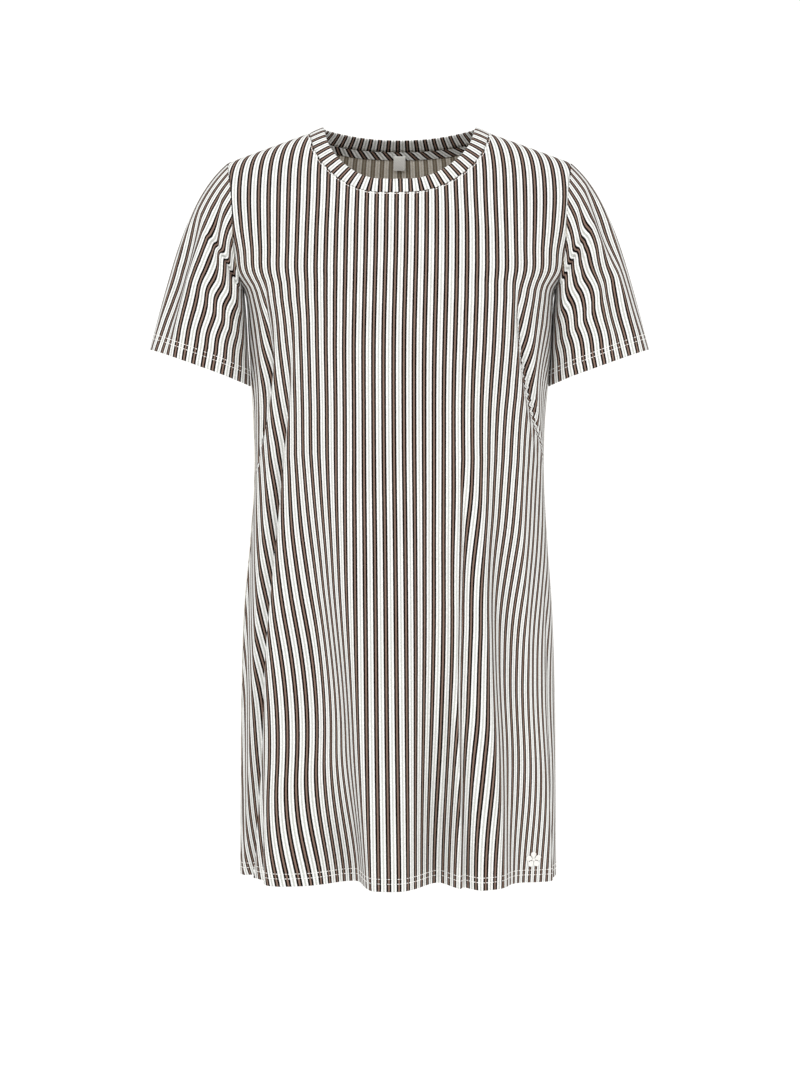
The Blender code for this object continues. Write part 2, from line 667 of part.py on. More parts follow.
def make_sleeve(name, body, hand, folds):
    ring = body.armholes[hand]
    outer = sleeve_outer(ring, hand, folds)
    normals = sleeve_normals(outer, hand)
    normals[0] = armhole_normals(ring)
    outer[0, :, 0] += hand * HALF_GAP
    inner = outer - normals * WALL
    if hand > 0:
        outer, inner = outer[:, ::-1], inner[:, ::-1]
    return wall_object(name, outer, inner, CLOTH_COLOUR, ring=True)


# Neck pieces

def make_neckband(body):
    """A ring of one section, standing off the neck seam by half the seam gap."""
    rows = []
    for share, depth in BAND_SECTION:
        height = HALF_GAP + share * (BAND_WIDTH - HALF_GAP)
        rows.append(body.neck + body.lean * height - body.neck_normal * depth)
    section = np.array(rows)
    points, columns = section.shape[:2]
    faces = []
    for row in range(points):
        above = (row + 1) % points
        for col in range(columns):
            nxt = (col + 1) % columns
            low, high = row * columns, above * columns
            faces.append((low + col, low + nxt, high + nxt, high + col))
    return mesh_object("neckband", section.reshape(-1, 3), faces, BAND_COLOUR)


def under_back(body):
    """Inner face of the back between the neckline and the row below it, from right to left."""
    _, inner = body.faces(1)
    strip = inner[-2:, SHOULDER_COLUMNS:-SHOULDER_COLUMNS]
    normals = body.normal[1][-2:, SHOULDER_COLUMNS:-SHOULDER_COLUMNS]
    return strip, normals


def make_neck_tape(body):
    """The strip of the back's own points, moved in by the gap and drawn in at both ends."""
    strip, normals = under_back(body)
    strip, normals = strip[:, TAPE_INSET:-TAPE_INSET], normals[:, TAPE_INSET:-TAPE_INSET]
    near = strip - normals * TAPE_GAP
    far = near - normals * TAPE_THICKNESS
    drop = near[0] - near[1]
    near[1] += TAPE_DRAWN_IN * drop
    far[1] += TAPE_DRAWN_IN * drop
    return wall_object("neck_tape", near[:, ::-1], far[:, ::-1], BAND_COLOUR)


def make_neck_tab(body):
    """A small flat tab that hangs inside the tape at the centre of the back neck."""
    strip, normals = under_back(body)
    centre = strip.shape[1] // 2
    lift = TAPE_GAP + TAPE_THICKNESS + TAB_GAP
    top = strip[1, centre] - normals[1, centre] * lift
    low = strip[0, centre] - normals[0, centre] * lift
    start = top + unit(low - top) * TAB_BELOW_SEAM
    down = unit(TAB_HANG)
    through = np.cross(down, SIDEWAYS)
    grid = []
    for step in np.linspace(0.0, TAB_LENGTH, 5):
        middle = start + down * step
        grid.append([middle - SIDEWAYS * TAB_WIDTH / 2, middle, middle + SIDEWAYS * TAB_WIDTH / 2])
    near = np.array(grid)
    far = near + through * TAB_THICKNESS
    return wall_object("neck_tab", near, far, TAB_COLOUR)


def main():
    clear_scene()
    body = Body()
    make_panel("front", body, -1)
    make_panel("back", body, 1)
    make_sleeve("sleeve_left", body, -1, LEFT_SLEEVE_FOLDS)
    make_sleeve("sleeve_right", body, 1, RIGHT_SLEEVE_FOLDS)
    make_neckband(body)
    make_neck_tape(body)
    make_neck_tab(body)


if __name__ == "__main__":
    main()
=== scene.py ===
"""Cloth, sewing and stage of a short-sleeved nightshirt in striped jersey, with no wearer in it.

Metres, +Z up, front towards -Y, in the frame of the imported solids. The right side of every piece
of cloth follows the outer face of its solid, and its thickness lies inside.
"""

import math
from collections import namedtuple
from functools import lru_cache

import bpy
import numpy as np
from mathutils.bvhtree import BVHTree
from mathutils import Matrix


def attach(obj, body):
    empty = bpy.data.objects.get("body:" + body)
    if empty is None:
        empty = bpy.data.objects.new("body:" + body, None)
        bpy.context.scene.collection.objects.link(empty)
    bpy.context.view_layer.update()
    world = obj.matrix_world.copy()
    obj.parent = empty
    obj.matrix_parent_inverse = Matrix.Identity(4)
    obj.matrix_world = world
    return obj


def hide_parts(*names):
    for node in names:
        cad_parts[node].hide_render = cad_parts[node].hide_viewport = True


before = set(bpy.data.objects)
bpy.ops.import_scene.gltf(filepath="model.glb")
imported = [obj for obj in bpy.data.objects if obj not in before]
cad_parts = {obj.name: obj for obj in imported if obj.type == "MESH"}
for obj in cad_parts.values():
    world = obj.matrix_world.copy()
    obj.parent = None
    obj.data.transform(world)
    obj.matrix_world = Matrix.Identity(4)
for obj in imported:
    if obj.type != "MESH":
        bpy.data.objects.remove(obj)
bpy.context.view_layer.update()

bl_info = {
    "name": "Striped Nightshirt",
    "version": (1, 0, 0),
    "blender": (4, 5, 0),
    "location": "3D View > Sidebar > Nightshirt",
    "description": "Makes the jersey, the sewing and the stage of a striped nightshirt",
    "category": "Add Mesh",
}

SIDEWAYS = np.array((1.0, 0.0, 0.0))
UP = np.array((0.0, 0.0, 1.0))
HALF_GAP = 0.00015

# Shoulders and neck
TOP_HALF_WIDTH = 0.225
SHOULDER_TIP_X = 0.197
SHOULDER_TIP_Z = -0.042
SHOULDER_SLOPE = 0.374
SHOULDER_ROUNDING = 0.030
ROLL_AT_TIP = 0.060
ROLL_AT_CENTRE = 0.140
NECK_HALF_WIDTH = 0.1035
NECK_HALF_DEPTH = 0.075
NECK_LOWEST_X = -0.007
FRONT_NECK_Z = -0.0876
BACK_NECK_Z = -0.0150
BACK_NECK_POWER = 3

# Body
ARMPIT_Z = -0.190
HEM_Z = -0.8585
SQUARENESS = 2.3
FOLD_RADIUS = 0.150
HEM_DROP = 0.08
HEM_DROP_HEIGHT = 0.25
SEAM_CALM_DEG = 12.0

# Neckband and what lies inside the back neck
BAND_WIDTH = 0.0175
TAPE_WIDTH = 0.0115
TAPE_INSET = 8
TAPE_DEPTH = 0.0021
TAPE_EDGE_RADIUS = 0.0006
TAPE_TURN_DEG = (0, 45, 90)
TAB_WIDTH = 0.014
TAB_LENGTH = 0.017
TAB_DEPTH = 0.0036
TAB_BELOW_SEAM = 0.004
TAB_HANG = np.array((0.0, 0.35, -0.94))
TAB_FOLD_RADIUS = 0.0004
TAB_RIBBON = 0.0003
TAB_CURL = 0.0012

# Sleeves
CUFF_OUTER = (0.287, -0.2565)
CUFF_INNER = (0.1711, -0.2985)
CUFF_HALF_DEPTH = 0.040
CUFF_BACK_RISE = 0.011
UPPER_START_DEG = 39.0
UNDER_START_DEG = 97.0
UPPER_END_DEG = 75.0
UNDER_END_DEG = 95.0
UPPER_START_PULL = 0.060
UPPER_END_PULL = 0.100
UNDER_PULL = 0.035
SLOPE_POWER = 0.8
FOLD_FREE_LENGTH = 0.12

# Grid sizes: rows run up a panel, columns across it. A probe is a small step across the cloth.
BODY_ROWS = 96
ARMHOLE_ROWS = 40
EDGE_ROWS = 5
SHOULDER_COLUMNS = 54
NECK_COLUMNS = 180
SLEEVE_ROWS = 80
CORNER_SPREAD = 12
LEVEL_ROWS = 10
PROBE = 0.0005
HEM_ROWS = 5
CUFF_ROWS = 6

# The flat cuts are worked out on grids of their own
CUT_ANGLES = 361
CUT_DROPS = 236
LONGEST_DROP = 0.94
LAID_ROWS = 16
LAID_COLUMNS = 37
LAYING_ROUNDS = 60

# How far the cloth turns at a seam and at a hem
SEAM_TURN_DEG = (0, 30, 60, 90)
HEM_TURN_DEG = (0, 30, 60, 90, 120, 150, 180)

# Threads lie off the cloth by these shares of their thickness. The cover thread runs in a zigzag on
# the wrong side of the hems, with this many metres for a crossing and back, and is thinner.
STITCH_LIFT = 0.2
COVER_LIFT = 0.3
COVER_PITCH = 0.0034
COVER_THICKNESS = 0.7

# The knit's darker specks: between which values of the noise they fade, how dark and how strong
SPECK_FADE = (0.36, 0.66)
SPECK_DARKEST = (0.72, 0.72, 0.72)
SPECK_STRENGTH = 0.6

# A wave texture repeats every 0.31 of its scale's inverse along X, so a span of 6 threads gives a
# ridge of twist about every 1.9 threads. The valleys between the ridges are this dark.
TWIST_SPAN = 6
TWIST_SHADOW = 0.86

# Diagonal waves are wider: this gives a ribbon ribs about 1.4 mm apart, coarser than real ones so
# that they show
TWILL_SCALE = 320.0

# An edge of 1 brings the cloth to the side at an angle, and one of 0.4 brings it round
Ring = namedtuple("Ring", "z half_width centre_x front_depth back_depth left_edge right_edge")
BODY_RINGS = (
    Ring(0.030, 0.2250, 0.0000, 0.043, 0.104, 0.43, 0.43),
    Ring(0.000, 0.2250, 0.0000, 0.052, 0.104, 0.43, 0.43),
    Ring(-0.050, 0.2250, 0.0000, 0.066, 0.101, 0.43, 0.43),
    Ring(-0.088, 0.2240, 0.0000, 0.081, 0.101, 0.43, 0.43),
    Ring(-0.120, 0.2140, 0.0000, 0.090, 0.102, 0.43, 0.43),
    Ring(-0.150, 0.2000, 0.0000, 0.096, 0.102, 0.44, 0.44),
    Ring(-0.172, 0.1930, 0.0000, 0.100, 0.102, 0.45, 0.44),
    Ring(-0.190, 0.1785, 0.0000, 0.102, 0.101, 0.48, 0.46),
    Ring(-0.207, 0.1757, 0.0005, 0.104, 0.100, 0.56, 0.48),
    Ring(-0.225, 0.1750, 0.0006, 0.105, 0.099, 0.68, 0.51),
    Ring(-0.260, 0.1730, 0.0006, 0.106, 0.096, 0.82, 0.54),
    Ring(-0.300, 0.1701, 0.0002, 0.103, 0.093, 0.88, 0.56),
    Ring(-0.340, 0.1673, -0.0004, 0.098, 0.091, 0.90, 0.56),
    Ring(-0.390, 0.1660, -0.0003, 0.093, 0.090, 0.90, 0.56),
    Ring(-0.475, 0.1705, -0.0008, 0.092, 0.094, 0.90, 0.54),
    Ring(-0.545, 0.1762, -0.0015, 0.098, 0.100, 0.90, 0.54),
    Ring(-0.660, 0.1800, -0.0015, 0.106, 0.106, 0.90, 0.52),
    Ring(-0.770, 0.1808, -0.0015, 0.112, 0.108, 0.85, 0.50),
    Ring(-0.860, 0.1814, -0.0016, 0.116, 0.106, 0.80, 0.50),
)

Armhole = namedtuple("Armhole", "z front_x back_x")
ARMHOLE_LINE = (
    Armhole(-0.042, 0.197, 0.197),
    Armhole(-0.060, 0.194, 0.196),
    Armhole(-0.085, 0.190, 0.195),
    Armhole(-0.115, 0.188, 0.193),
    Armhole(-0.144, 0.187, 0.190),
    Armhole(-0.165, 0.184, 0.186),
    Armhole(-0.190, 0.1785, 0.1785),
)

# Share of the way from the lowest point to the shoulder, and share of the rise reached there
Neckline = namedtuple("Neckline", "across up")
FRONT_NECKLINE = (
    Neckline(0.00, 0.000),
    Neckline(0.32, 0.030),
    Neckline(0.47, 0.095),
    Neckline(0.61, 0.200),
    Neckline(0.75, 0.355),
    Neckline(0.87, 0.550),
    Neckline(0.95, 0.760),
    Neckline(1.00, 1.000),
)

# A fold fades in at its top, passes its middle and runs out at its bottom. Height is outwards.
Fold = namedtuple(
    "Fold", "z_top x_top z_middle x_middle h_middle z_bottom x_bottom h_bottom left_width right_width"
)
FRONT_FOLDS = (
    Fold(-0.20, -0.118, -0.38, -0.138, -0.008, -0.86, -0.172, -0.016, 0.022, 0.014),
    Fold(-0.34, -0.100, -0.60, -0.102, -0.020, -0.84, -0.085, -0.004, 0.045, 0.050),
    Fold(-0.42, -0.142, -0.66, -0.142, 0.007, -0.86, -0.136, 0.016, 0.024, 0.044),
    Fold(-0.19, -0.148, -0.29, -0.150, -0.006, -0.385, -0.164, 0.000, 0.020, 0.014),
    Fold(-0.52, -0.078, -0.70, -0.070, -0.012, -0.86, -0.059, -0.036, 0.044, 0.024),
    Fold(-0.45, -0.020, -0.65, -0.012, 0.003, -0.86, -0.008, 0.008, 0.035, 0.040),
    Fold(-0.34, 0.050, -0.54, 0.052, -0.014, -0.86, 0.052, -0.033, 0.040, 0.014),
    Fold(-0.40, 0.084, -0.66, 0.086, 0.003, -0.86, 0.088, 0.010, 0.013, 0.048),
    Fold(-0.26, 0.112, -0.58, 0.124, -0.018, -0.86, 0.139, -0.009, 0.036, 0.030),
    Fold(-0.44, 0.158, -0.66, 0.160, 0.004, -0.86, 0.166, 0.006, 0.022, 0.020),
    Fold(-0.18, 0.133, -0.29, 0.144, -0.005, -0.41, 0.164, 0.000, 0.014, 0.020),
)
BACK_FOLDS = (
    Fold(-0.21, -0.128, -0.40, -0.136, -0.014, -0.86, -0.150, -0.024, 0.032, 0.020),
    Fold(-0.30, -0.095, -0.55, -0.104, 0.008, -0.86, -0.110, 0.016, 0.030, 0.038),
    Fold(-0.44, -0.062, -0.66, -0.060, -0.012, -0.86, -0.052, -0.034, 0.040, 0.026),
    Fold(-0.20, -0.030, -0.42, -0.020, -0.007, -0.66, -0.014, 0.000, 0.040, 0.034),
    Fold(-0.52, 0.000, -0.70, 0.006, 0.006, -0.86, 0.010, 0.014, 0.036, 0.034),
    Fold(-0.40, 0.060, -0.62, 0.064, -0.014, -0.86, 0.070, -0.036, 0.028, 0.044),
    Fold(-0.28, 0.096, -0.50, 0.108, 0.007, -0.86, 0.118, 0.017, 0.036, 0.026),
    Fold(-0.19, 0.134, -0.38, 0.140, -0.015, -0.86, 0.154, -0.022, 0.020, 0.034),
)

# A tuck runs down the cloth along a line: how wide it is, and at each height how deep and how much
# cloth it hides. Sharp ones are creases. Wide ones spread hidden cloth and dip 3.5 mm at most.
Tuck = namedtuple("Tuck", "width line")
At = namedtuple("At", "z x depth hidden")
SHARP = 0.0045
FRONT_TUCKS = (
    Tuck(SHARP, (
        At(-0.185, -0.1500, 0.0000, 0.0000),
        At(-0.220, -0.1498, 0.0015, 0.0070),
        At(-0.257, -0.1497, 0.0035, 0.0090),
        At(-0.295, -0.1500, 0.0050, 0.0112),
        At(-0.332, -0.1530, 0.0045, 0.0112),
        At(-0.365, -0.1590, 0.0020, 0.0112),
        At(-0.395, -0.1650, 0.0000, 0.0112),
        At(-0.415, -0.1850, 0.0000, 0.0112),
    )),
    Tuck(0.030, (
        At(-0.230, -0.1660, 0.0000, 0.0000),
        At(-0.320, -0.1640, 0.0000, 0.0150),
        At(-0.420, -0.1660, 0.0000, 0.0190),
        At(-0.560, -0.1700, 0.0000, 0.0200),
        At(-0.700, -0.1730, 0.0000, 0.0190),
        At(-0.862, -0.1740, 0.0000, 0.0190),
    )),
    Tuck(SHARP, (
        At(-0.254, -0.1242, 0.0000, 0.0000),
        At(-0.316, -0.1288, 0.0012, 0.0010),
        At(-0.352, -0.1346, 0.0024, 0.0025),
        At(-0.384, -0.1403, 0.0036, 0.0045),
        At(-0.415, -0.1438, 0.0050, 0.0065),
        At(-0.487, -0.1472, 0.0065, 0.0090),
        At(-0.567, -0.1507, 0.0065, 0.0112),
        At(-0.635, -0.1547, 0.0050, 0.0112),
        At(-0.700, -0.1593, 0.0030, 0.0112),
        At(-0.772, -0.1638, 0.0010, 0.0112),
        At(-0.862, -0.1630, 0.0010, 0.0112),
    )),
    Tuck(0.060, (
        At(-0.380, -0.0900, 0.0000, 0.0000),
        At(-0.470, -0.0860, 0.0000, 0.0090),
        At(-0.560, -0.0820, 0.0000, 0.0200),
        At(-0.660, -0.0760, 0.0006, 0.0280),
        At(-0.750, -0.0700, 0.0010, 0.0290),
        At(-0.862, -0.0640, 0.0010, 0.0250),
    )),
    Tuck(SHARP, (
        At(-0.386, 0.0667, 0.0000, 0.0000),
        At(-0.442, 0.0713, 0.0040, 0.0030),
        At(-0.567, 0.0702, 0.0080, 0.0085),
        At(-0.650, 0.0692, 0.0090, 0.0112),
        At(-0.703, 0.0713, 0.0090, 0.0090),
        At(-0.772, 0.0736, 0.0090, 0.0040),
        At(-0.862, 0.0740, 0.0080, 0.0000),
    )),
    Tuck(0.090, (
        At(-0.314, 0.1370, 0.0000, 0.0000),
        At(-0.383, 0.1380, 0.0000, 0.0120),
        At(-0.498, 0.1400, 0.0000, 0.0330),
        At(-0.590, 0.1420, 0.0000, 0.0480),
        At(-0.659, 0.1440, 0.0000, 0.0520),
        At(-0.760, 0.1460, 0.0000, 0.0460),
        At(-0.862, 0.1460, 0.0000, 0.0400),
    )),
    Tuck(0.040, (
        At(-0.230, 0.1600, 0.0000, 0.0000),
        At(-0.320, 0.1620, 0.0000, 0.0224),
        At(-0.380, 0.1680, 0.0000, 0.0224),
        At(-0.420, 0.2000, 0.0000, 0.0224),
    )),
    Tuck(SHARP, (
        At(-0.185, 0.1320, 0.0000, 0.0000),
        At(-0.220, 0.1330, 0.0015, 0.0070),
        At(-0.255, 0.1390, 0.0035, 0.0090),
        At(-0.306, 0.1489, 0.0060, 0.0112),
        At(-0.339, 0.1560, 0.0050, 0.0112),
        At(-0.368, 0.1631, 0.0020, 0.0112),
        At(-0.395, 0.1680, 0.0000, 0.0112),
        At(-0.415, 0.1850, 0.0000, 0.0112),
    )),
)
BACK_TUCKS = (
    Tuck(SHARP, (
        At(-0.205, -0.1450, 0.0000, 0.0000),
        At(-0.260, -0.1460, 0.0035, 0.0160),
        At(-0.330, -0.1540, 0.0040, 0.0360),
        At(-0.385, -0.1650, 0.0000, 0.0448),
        At(-0.405, -0.1850, 0.0000, 0.0448),
    )),
    Tuck(0.022, (
        At(-0.360, -0.1000, 0.0000, 0.0000),
        At(-0.520, -0.0960, 0.0030, 0.0200),
        At(-0.680, -0.0980, 0.0035, 0.0448),
        At(-0.862, -0.1040, 0.0030, 0.0448),
    )),
    Tuck(0.024, (
        At(-0.400, 0.1180, 0.0000, 0.0000),
        At(-0.560, 0.1120, 0.0030, 0.0180),
        At(-0.700, 0.1080, 0.0035, 0.0336),
        At(-0.862, 0.1100, 0.0030, 0.0336),
    )),
    Tuck(SHARP, (
        At(-0.200, 0.1400, 0.0000, 0.0000),
        At(-0.270, 0.1430, 0.0040, 0.0190),
        At(-0.340, 0.1530, 0.0035, 0.0390),
        At(-0.390, 0.1660, 0.0000, 0.0448),
        At(-0.410, 0.1850, 0.0000, 0.0448),
    )),
)

# Round a sleeve, 0 degrees is the line from the shoulder, 90 the front, 180 the underarm.
# Along it, 0 is the armhole and 1 the cuff.
SleeveFold = namedtuple("SleeveFold", "deg_start along_start deg_end along_end height width_deg")
LEFT_SLEEVE_FOLDS = (
    SleeveFold(52, 0.10, 96, 0.46, -0.006, 20),
    SleeveFold(84, 0.00, 128, 0.50, 0.004, 24),
    SleeveFold(36, 0.30, 44, 1.10, -0.009, 19),
    SleeveFold(120, 0.30, 112, 1.10, 0.004, 26),
    SleeveFold(-60, 0.08, -104, 0.50, -0.006, 22),
    SleeveFold(-44, 0.35, -50, 1.10, -0.006, 24),
)
RIGHT_SLEEVE_FOLDS = (
    SleeveFold(56, 0.12, 104, 0.50, -0.006, 20),
    SleeveFold(26, 0.14, 40, 0.62, -0.006, 18),
    SleeveFold(62, 0.40, 58, 1.10, -0.008, 20),
    SleeveFold(118, 0.30, 122, 1.10, 0.004, 24),
    SleeveFold(-64, 0.08, -100, 0.46, -0.006, 22),
    SleeveFold(-40, 0.30, -56, 1.10, -0.006, 24),
)

# Where the embroidered flower sits on the front, across and up, and its parts
FLOWER_CENTRE = np.array((0.1500, -0.8325))
FLOWER_EYE = 0.0016
FLOWER_THREAD = 0.8
PETALS = 5
PETAL_HALF_WIDTH = 0.0029
PETAL_STITCHES = np.linspace(0.06, 0.96, 13)
SATIN_POINTS = np.linspace(-1.0, 1.0, 7)
SATIN_ROUNDING = 0.95

# A sleeve's creases run on a slant between two places, and push the stripes on both sides of them
# round, over a reach of so many of their widths
Pinch = namedtuple("Pinch", "deg_start along_start deg_end along_end width_deg depth shift")
SHIFT_REACH = 6
LEFT_PINCHES = (
    Pinch(52, 0.34, 156, 0.06, 7, 0.0050, -0.0034),
    Pinch(58, 0.62, 140, 0.30, 22, 0.0016, -0.0026),
    Pinch(70, 0.86, 150, 0.52, 24, 0.0010, -0.0022),
    Pinch(30, 1.10, 38, 0.30, 13, 0.0012, -0.0070),
    Pinch(-60, 0.40, -150, 0.08, 8, 0.0040, 0.0030),
    Pinch(-64, 0.76, -140, 0.40, 22, 0.0012, 0.0026),
)
RIGHT_PINCHES = (
    Pinch(60, 0.30, 150, 0.05, 7, 0.0045, -0.0030),
    Pinch(36, 0.66, 118, 0.34, 20, 0.0018, -0.0028),
    Pinch(48, 0.92, 132, 0.60, 22, 0.0012, -0.0022),
    Pinch(24, 1.00, 40, 0.24, 13, 0.0012, -0.0056),
    Pinch(-56, 0.36, -146, 0.08, 8, 0.0040, 0.0030),
    Pinch(-60, 0.72, -136, 0.38, 22, 0.0012, 0.0026),
)

# Direction of the neckband away from its seam: at the front, at the shoulders and at the back
BAND_LEAN_FRONT = np.array((0.0, 0.37, 0.93))
BAND_LEAN_SIDE = np.array((0.91, 0.0, 0.41))
BAND_LEAN_BACK = np.array((0.0, -0.80, 0.60))

# Where the front's middle stripe runs
Grain = namedtuple("Grain", "z x")
FRONT_GRAIN = (
    Grain(-0.08, 0.0083),
    Grain(-0.14, 0.0075),
    Grain(-0.25, 0.0050),
    Grain(-0.35, 0.0050),
    Grain(-0.48, 0.0065),
    Grain(-0.70, 0.0083),
    Grain(-0.86, 0.0096),
)

# The folded neckband: share of its width from the seam, and depth under its outer face
BAND_SECTION = (
    (0.000, 0.0010),
    (0.010, 0.0004),
    (0.045, 0.0000),
    (0.250, -0.0002),
    (0.500, -0.0003),
    (0.750, -0.0002),
    (0.900, 0.0000),
    (0.965, 0.0003),
    (1.000, 0.0011),
    (0.970, 0.0020),
    (0.900, 0.0023),
    (0.750, 0.0025),
    (0.500, 0.0026),
    (0.250, 0.0025),
    (0.000, 0.0024),
)


def linear(code):
    """A colour from its sRGB hex code, in linear light."""
    values = [int(code[index:index + 2], 16) / 255 for index in (0, 2, 4)]
    return tuple(v / 12.92 if v <= 0.04045 else ((v + 0.055) / 1.055) ** 2.4 for v in values)


def smoothstep(value, low=0.0, high=1.0):
    share = np.clip((value - low) / (high - low), 0.0, 1.0)
    return share * share * (3.0 - 2.0 * share)


def unit(vectors):
    return vectors / np.linalg.norm(vectors, axis=-1, keepdims=True)


def along_ring(ring):
    """Directions along a closed line."""
    return unit(np.roll(ring, -1, axis=0) - np.roll(ring, 1, axis=0))


def way_along(line):
    """Distance of each point of a line from its first one, along it."""
    steps = np.linalg.norm(np.diff(line, axis=0), axis=1)
    return np.concatenate([[0.0], np.cumsum(steps)])


def read_along(places, values, at):
    """Each column of values read between its rows' places."""
    return np.array([np.interp(at, places, row) for row in values.T])


def curve_through(knots, values, at):
    """Smooth curve through rows of values, read at one or many places. Its knots rise."""
    knots, values, at = (np.asarray(item, float) for item in (knots, values, at))
    slopes = np.gradient(values, knots, axis=0)
    at = np.clip(at, knots[0], knots[-1])
    index = np.clip(np.searchsorted(knots, at, side="right") - 1, 0, len(knots) - 2)
    span = knots[index + 1] - knots[index]
    t = (at - knots[index]) / span
    if values.ndim > 1:
        span, t = span[:, None], t[:, None]
    return (
        values[index] * (1 + 2 * t) * (1 - t) ** 2
        + slopes[index] * span * t * (1 - t) ** 2
        + values[index + 1] * t * t * (3 - 2 * t)
        + slopes[index + 1] * span * t * t * (t - 1)
    )


def column(table, name, at, key="z"):
    """One column of a table as a smooth curve of another, its key."""
    rows = sorted(table, key=lambda row: getattr(row, key))
    return curve_through([getattr(row, key) for row in rows], [getattr(row, name) for row in rows], at)


# Body form

def rounded(x):
    """Distance from the centre line, rounded off at the centre."""
    return np.sqrt(x * x + SHOULDER_ROUNDING ** 2)


def shoulder_height(x):
    return SHOULDER_TIP_Z + SHOULDER_SLOPE * (rounded(SHOULDER_TIP_X) - rounded(x))


def roll_radius(x):
    """How far down the cloth turns over from the shoulder line to hanging."""
    whole = rounded(SHOULDER_TIP_X) - rounded(0.0)
    share = (rounded(SHOULDER_TIP_X) - rounded(x)) / whole
    return ROLL_AT_TIP + (ROLL_AT_CENTRE - ROLL_AT_TIP) * share


def angle_at(x, z):
    """Ring angle of a place x on the ring at height z, 0 at the centre and a right angle at the side."""
    share = np.clip((x - column(BODY_RINGS, "centre_x", z)) / column(BODY_RINGS, "half_width", z), -1, 1)
    return np.sign(share) * np.arcsin(np.abs(share) ** (SQUARENESS / 2))


def ring_share(angle):
    sine = np.sin(angle)
    return np.sign(sine) * np.abs(sine) ** (2 / SQUARENESS)


def drop_at(angle, z):
    """Distance down the cloth from the shoulder line to height z."""
    top_x = TOP_HALF_WIDTH * ring_share(angle)
    radius = roll_radius(top_x)
    below = shoulder_height(top_x) - z
    rolled = radius * np.arccos(np.clip(1 - below / radius, 0.0, 1.0))
    return np.where(below < radius, rolled, radius * math.pi / 2 + below - radius)


def fold_outward(folds, angle, z):
    """Sum of the folds' heights at a place on a panel."""
    total = np.zeros(np.broadcast(angle, z).shape)
    for fold in folds:
        heights = (fold.z_bottom, fold.z_middle, fold.z_top)
        reach = np.clip(z, fold.z_bottom, fold.z_top)
        x = curve_through(heights, (fold.x_bottom, fold.x_middle, fold.x_top), reach)
        above = fold.h_middle * smoothstep(fold.z_top - z, 0.0, fold.z_top - fold.z_middle)
        below = (fold.h_bottom - fold.h_middle) * smoothstep(
            fold.z_middle - z, 0.0, fold.z_middle - fold.z_bottom
        )
        offset = (angle - angle_at(x, reach)) * FOLD_RADIUS
        width = np.where(offset < 0, fold.left_width, fold.right_width)
        across = np.clip(1 - (offset / width) ** 2, 0.0, 1.0) ** 2
        total += across * (above + below)
    calm = smoothstep(math.pi / 2 - np.abs(angle), 0.0, math.radians(SEAM_CALM_DEG))
    return total * calm


def tucked(angle, z, side):
    """How deep the tucks go in at a place, and how much cloth they hide between it and the centre."""
    depth, hidden = 0.0, 0.0
    for width, line in FRONT_TUCKS if side < 0 else BACK_TUCKS:
        hand = math.copysign(1.0, line[0].x)
        beyond = hand * (angle - angle_at(column(line, "x", z), z)) * FOLD_RADIUS
        depth = depth + column(line, "depth", z) * np.exp(-(beyond / width) ** 2)
        hidden = hidden + hand * column(line, "hidden", z) * smoothstep(beyond, -width / 2, width / 2)
    return depth, hidden


def body_points(angle, drop, side):
    """Outer face of the body. side is -1 for the front and 1 for the back."""
    share = ring_share(angle)
    top_x = TOP_HALF_WIDTH * share
    radius = roll_radius(top_x)
    turned = np.clip(drop / radius, 0.0, math.pi / 2)
    z = shoulder_height(top_x) - radius * (1 - np.cos(turned)) - np.clip(
        drop - radius * math.pi / 2, 0.0, None
    )
    depth = column(BODY_RINGS, "front_depth" if side < 0 else "back_depth", z)
    edge = np.where(angle < 0, column(BODY_RINGS, "left_edge", z), column(BODY_RINGS, "right_edge", z))
    bow = np.clip(1 - np.abs(share) ** SQUARENESS, 0.0, 1.0) ** edge
    x = column(BODY_RINGS, "half_width", z) * share + column(BODY_RINGS, "centre_x", z)
    y = side * depth * bow * np.sin(turned)
    folds = FRONT_FOLDS if side < 0 else BACK_FOLDS
    outward = fold_outward(folds, angle, z) - tucked(angle, z, side)[0]
    near_hem = smoothstep(HEM_Z + HEM_DROP_HEIGHT - z, 0.0, HEM_DROP_HEIGHT)
    moved_x = x + outward * np.sin(angle)
    moved_y = y + side * outward * np.cos(angle)
    return np.stack([moved_x, moved_y, z - HEM_DROP * outward * near_hem], axis=-1)


# Panel outlines, as ring angles and drops

def front_neck_height(x):
    reach = np.where(x < NECK_LOWEST_X, NECK_HALF_WIDTH + NECK_LOWEST_X, NECK_HALF_WIDTH - NECK_LOWEST_X)
    across = np.abs(x - NECK_LOWEST_X) / reach
    rise = shoulder_height(NECK_HALF_WIDTH) - FRONT_NECK_Z
    return FRONT_NECK_Z + rise * column(FRONT_NECKLINE, "up", across, key="across")


def back_neck_height(x):
    rise = shoulder_height(NECK_HALF_WIDTH) - BACK_NECK_Z
    return BACK_NECK_Z + rise * (np.abs(x) / NECK_HALF_WIDTH) ** BACK_NECK_POWER


def place(x, z):
    """Ring angle and drop of a point of an outline, given by where it lies from in front."""
    angle = angle_at(x, z)
    return np.stack([angle, drop_at(angle, z)], axis=-1)


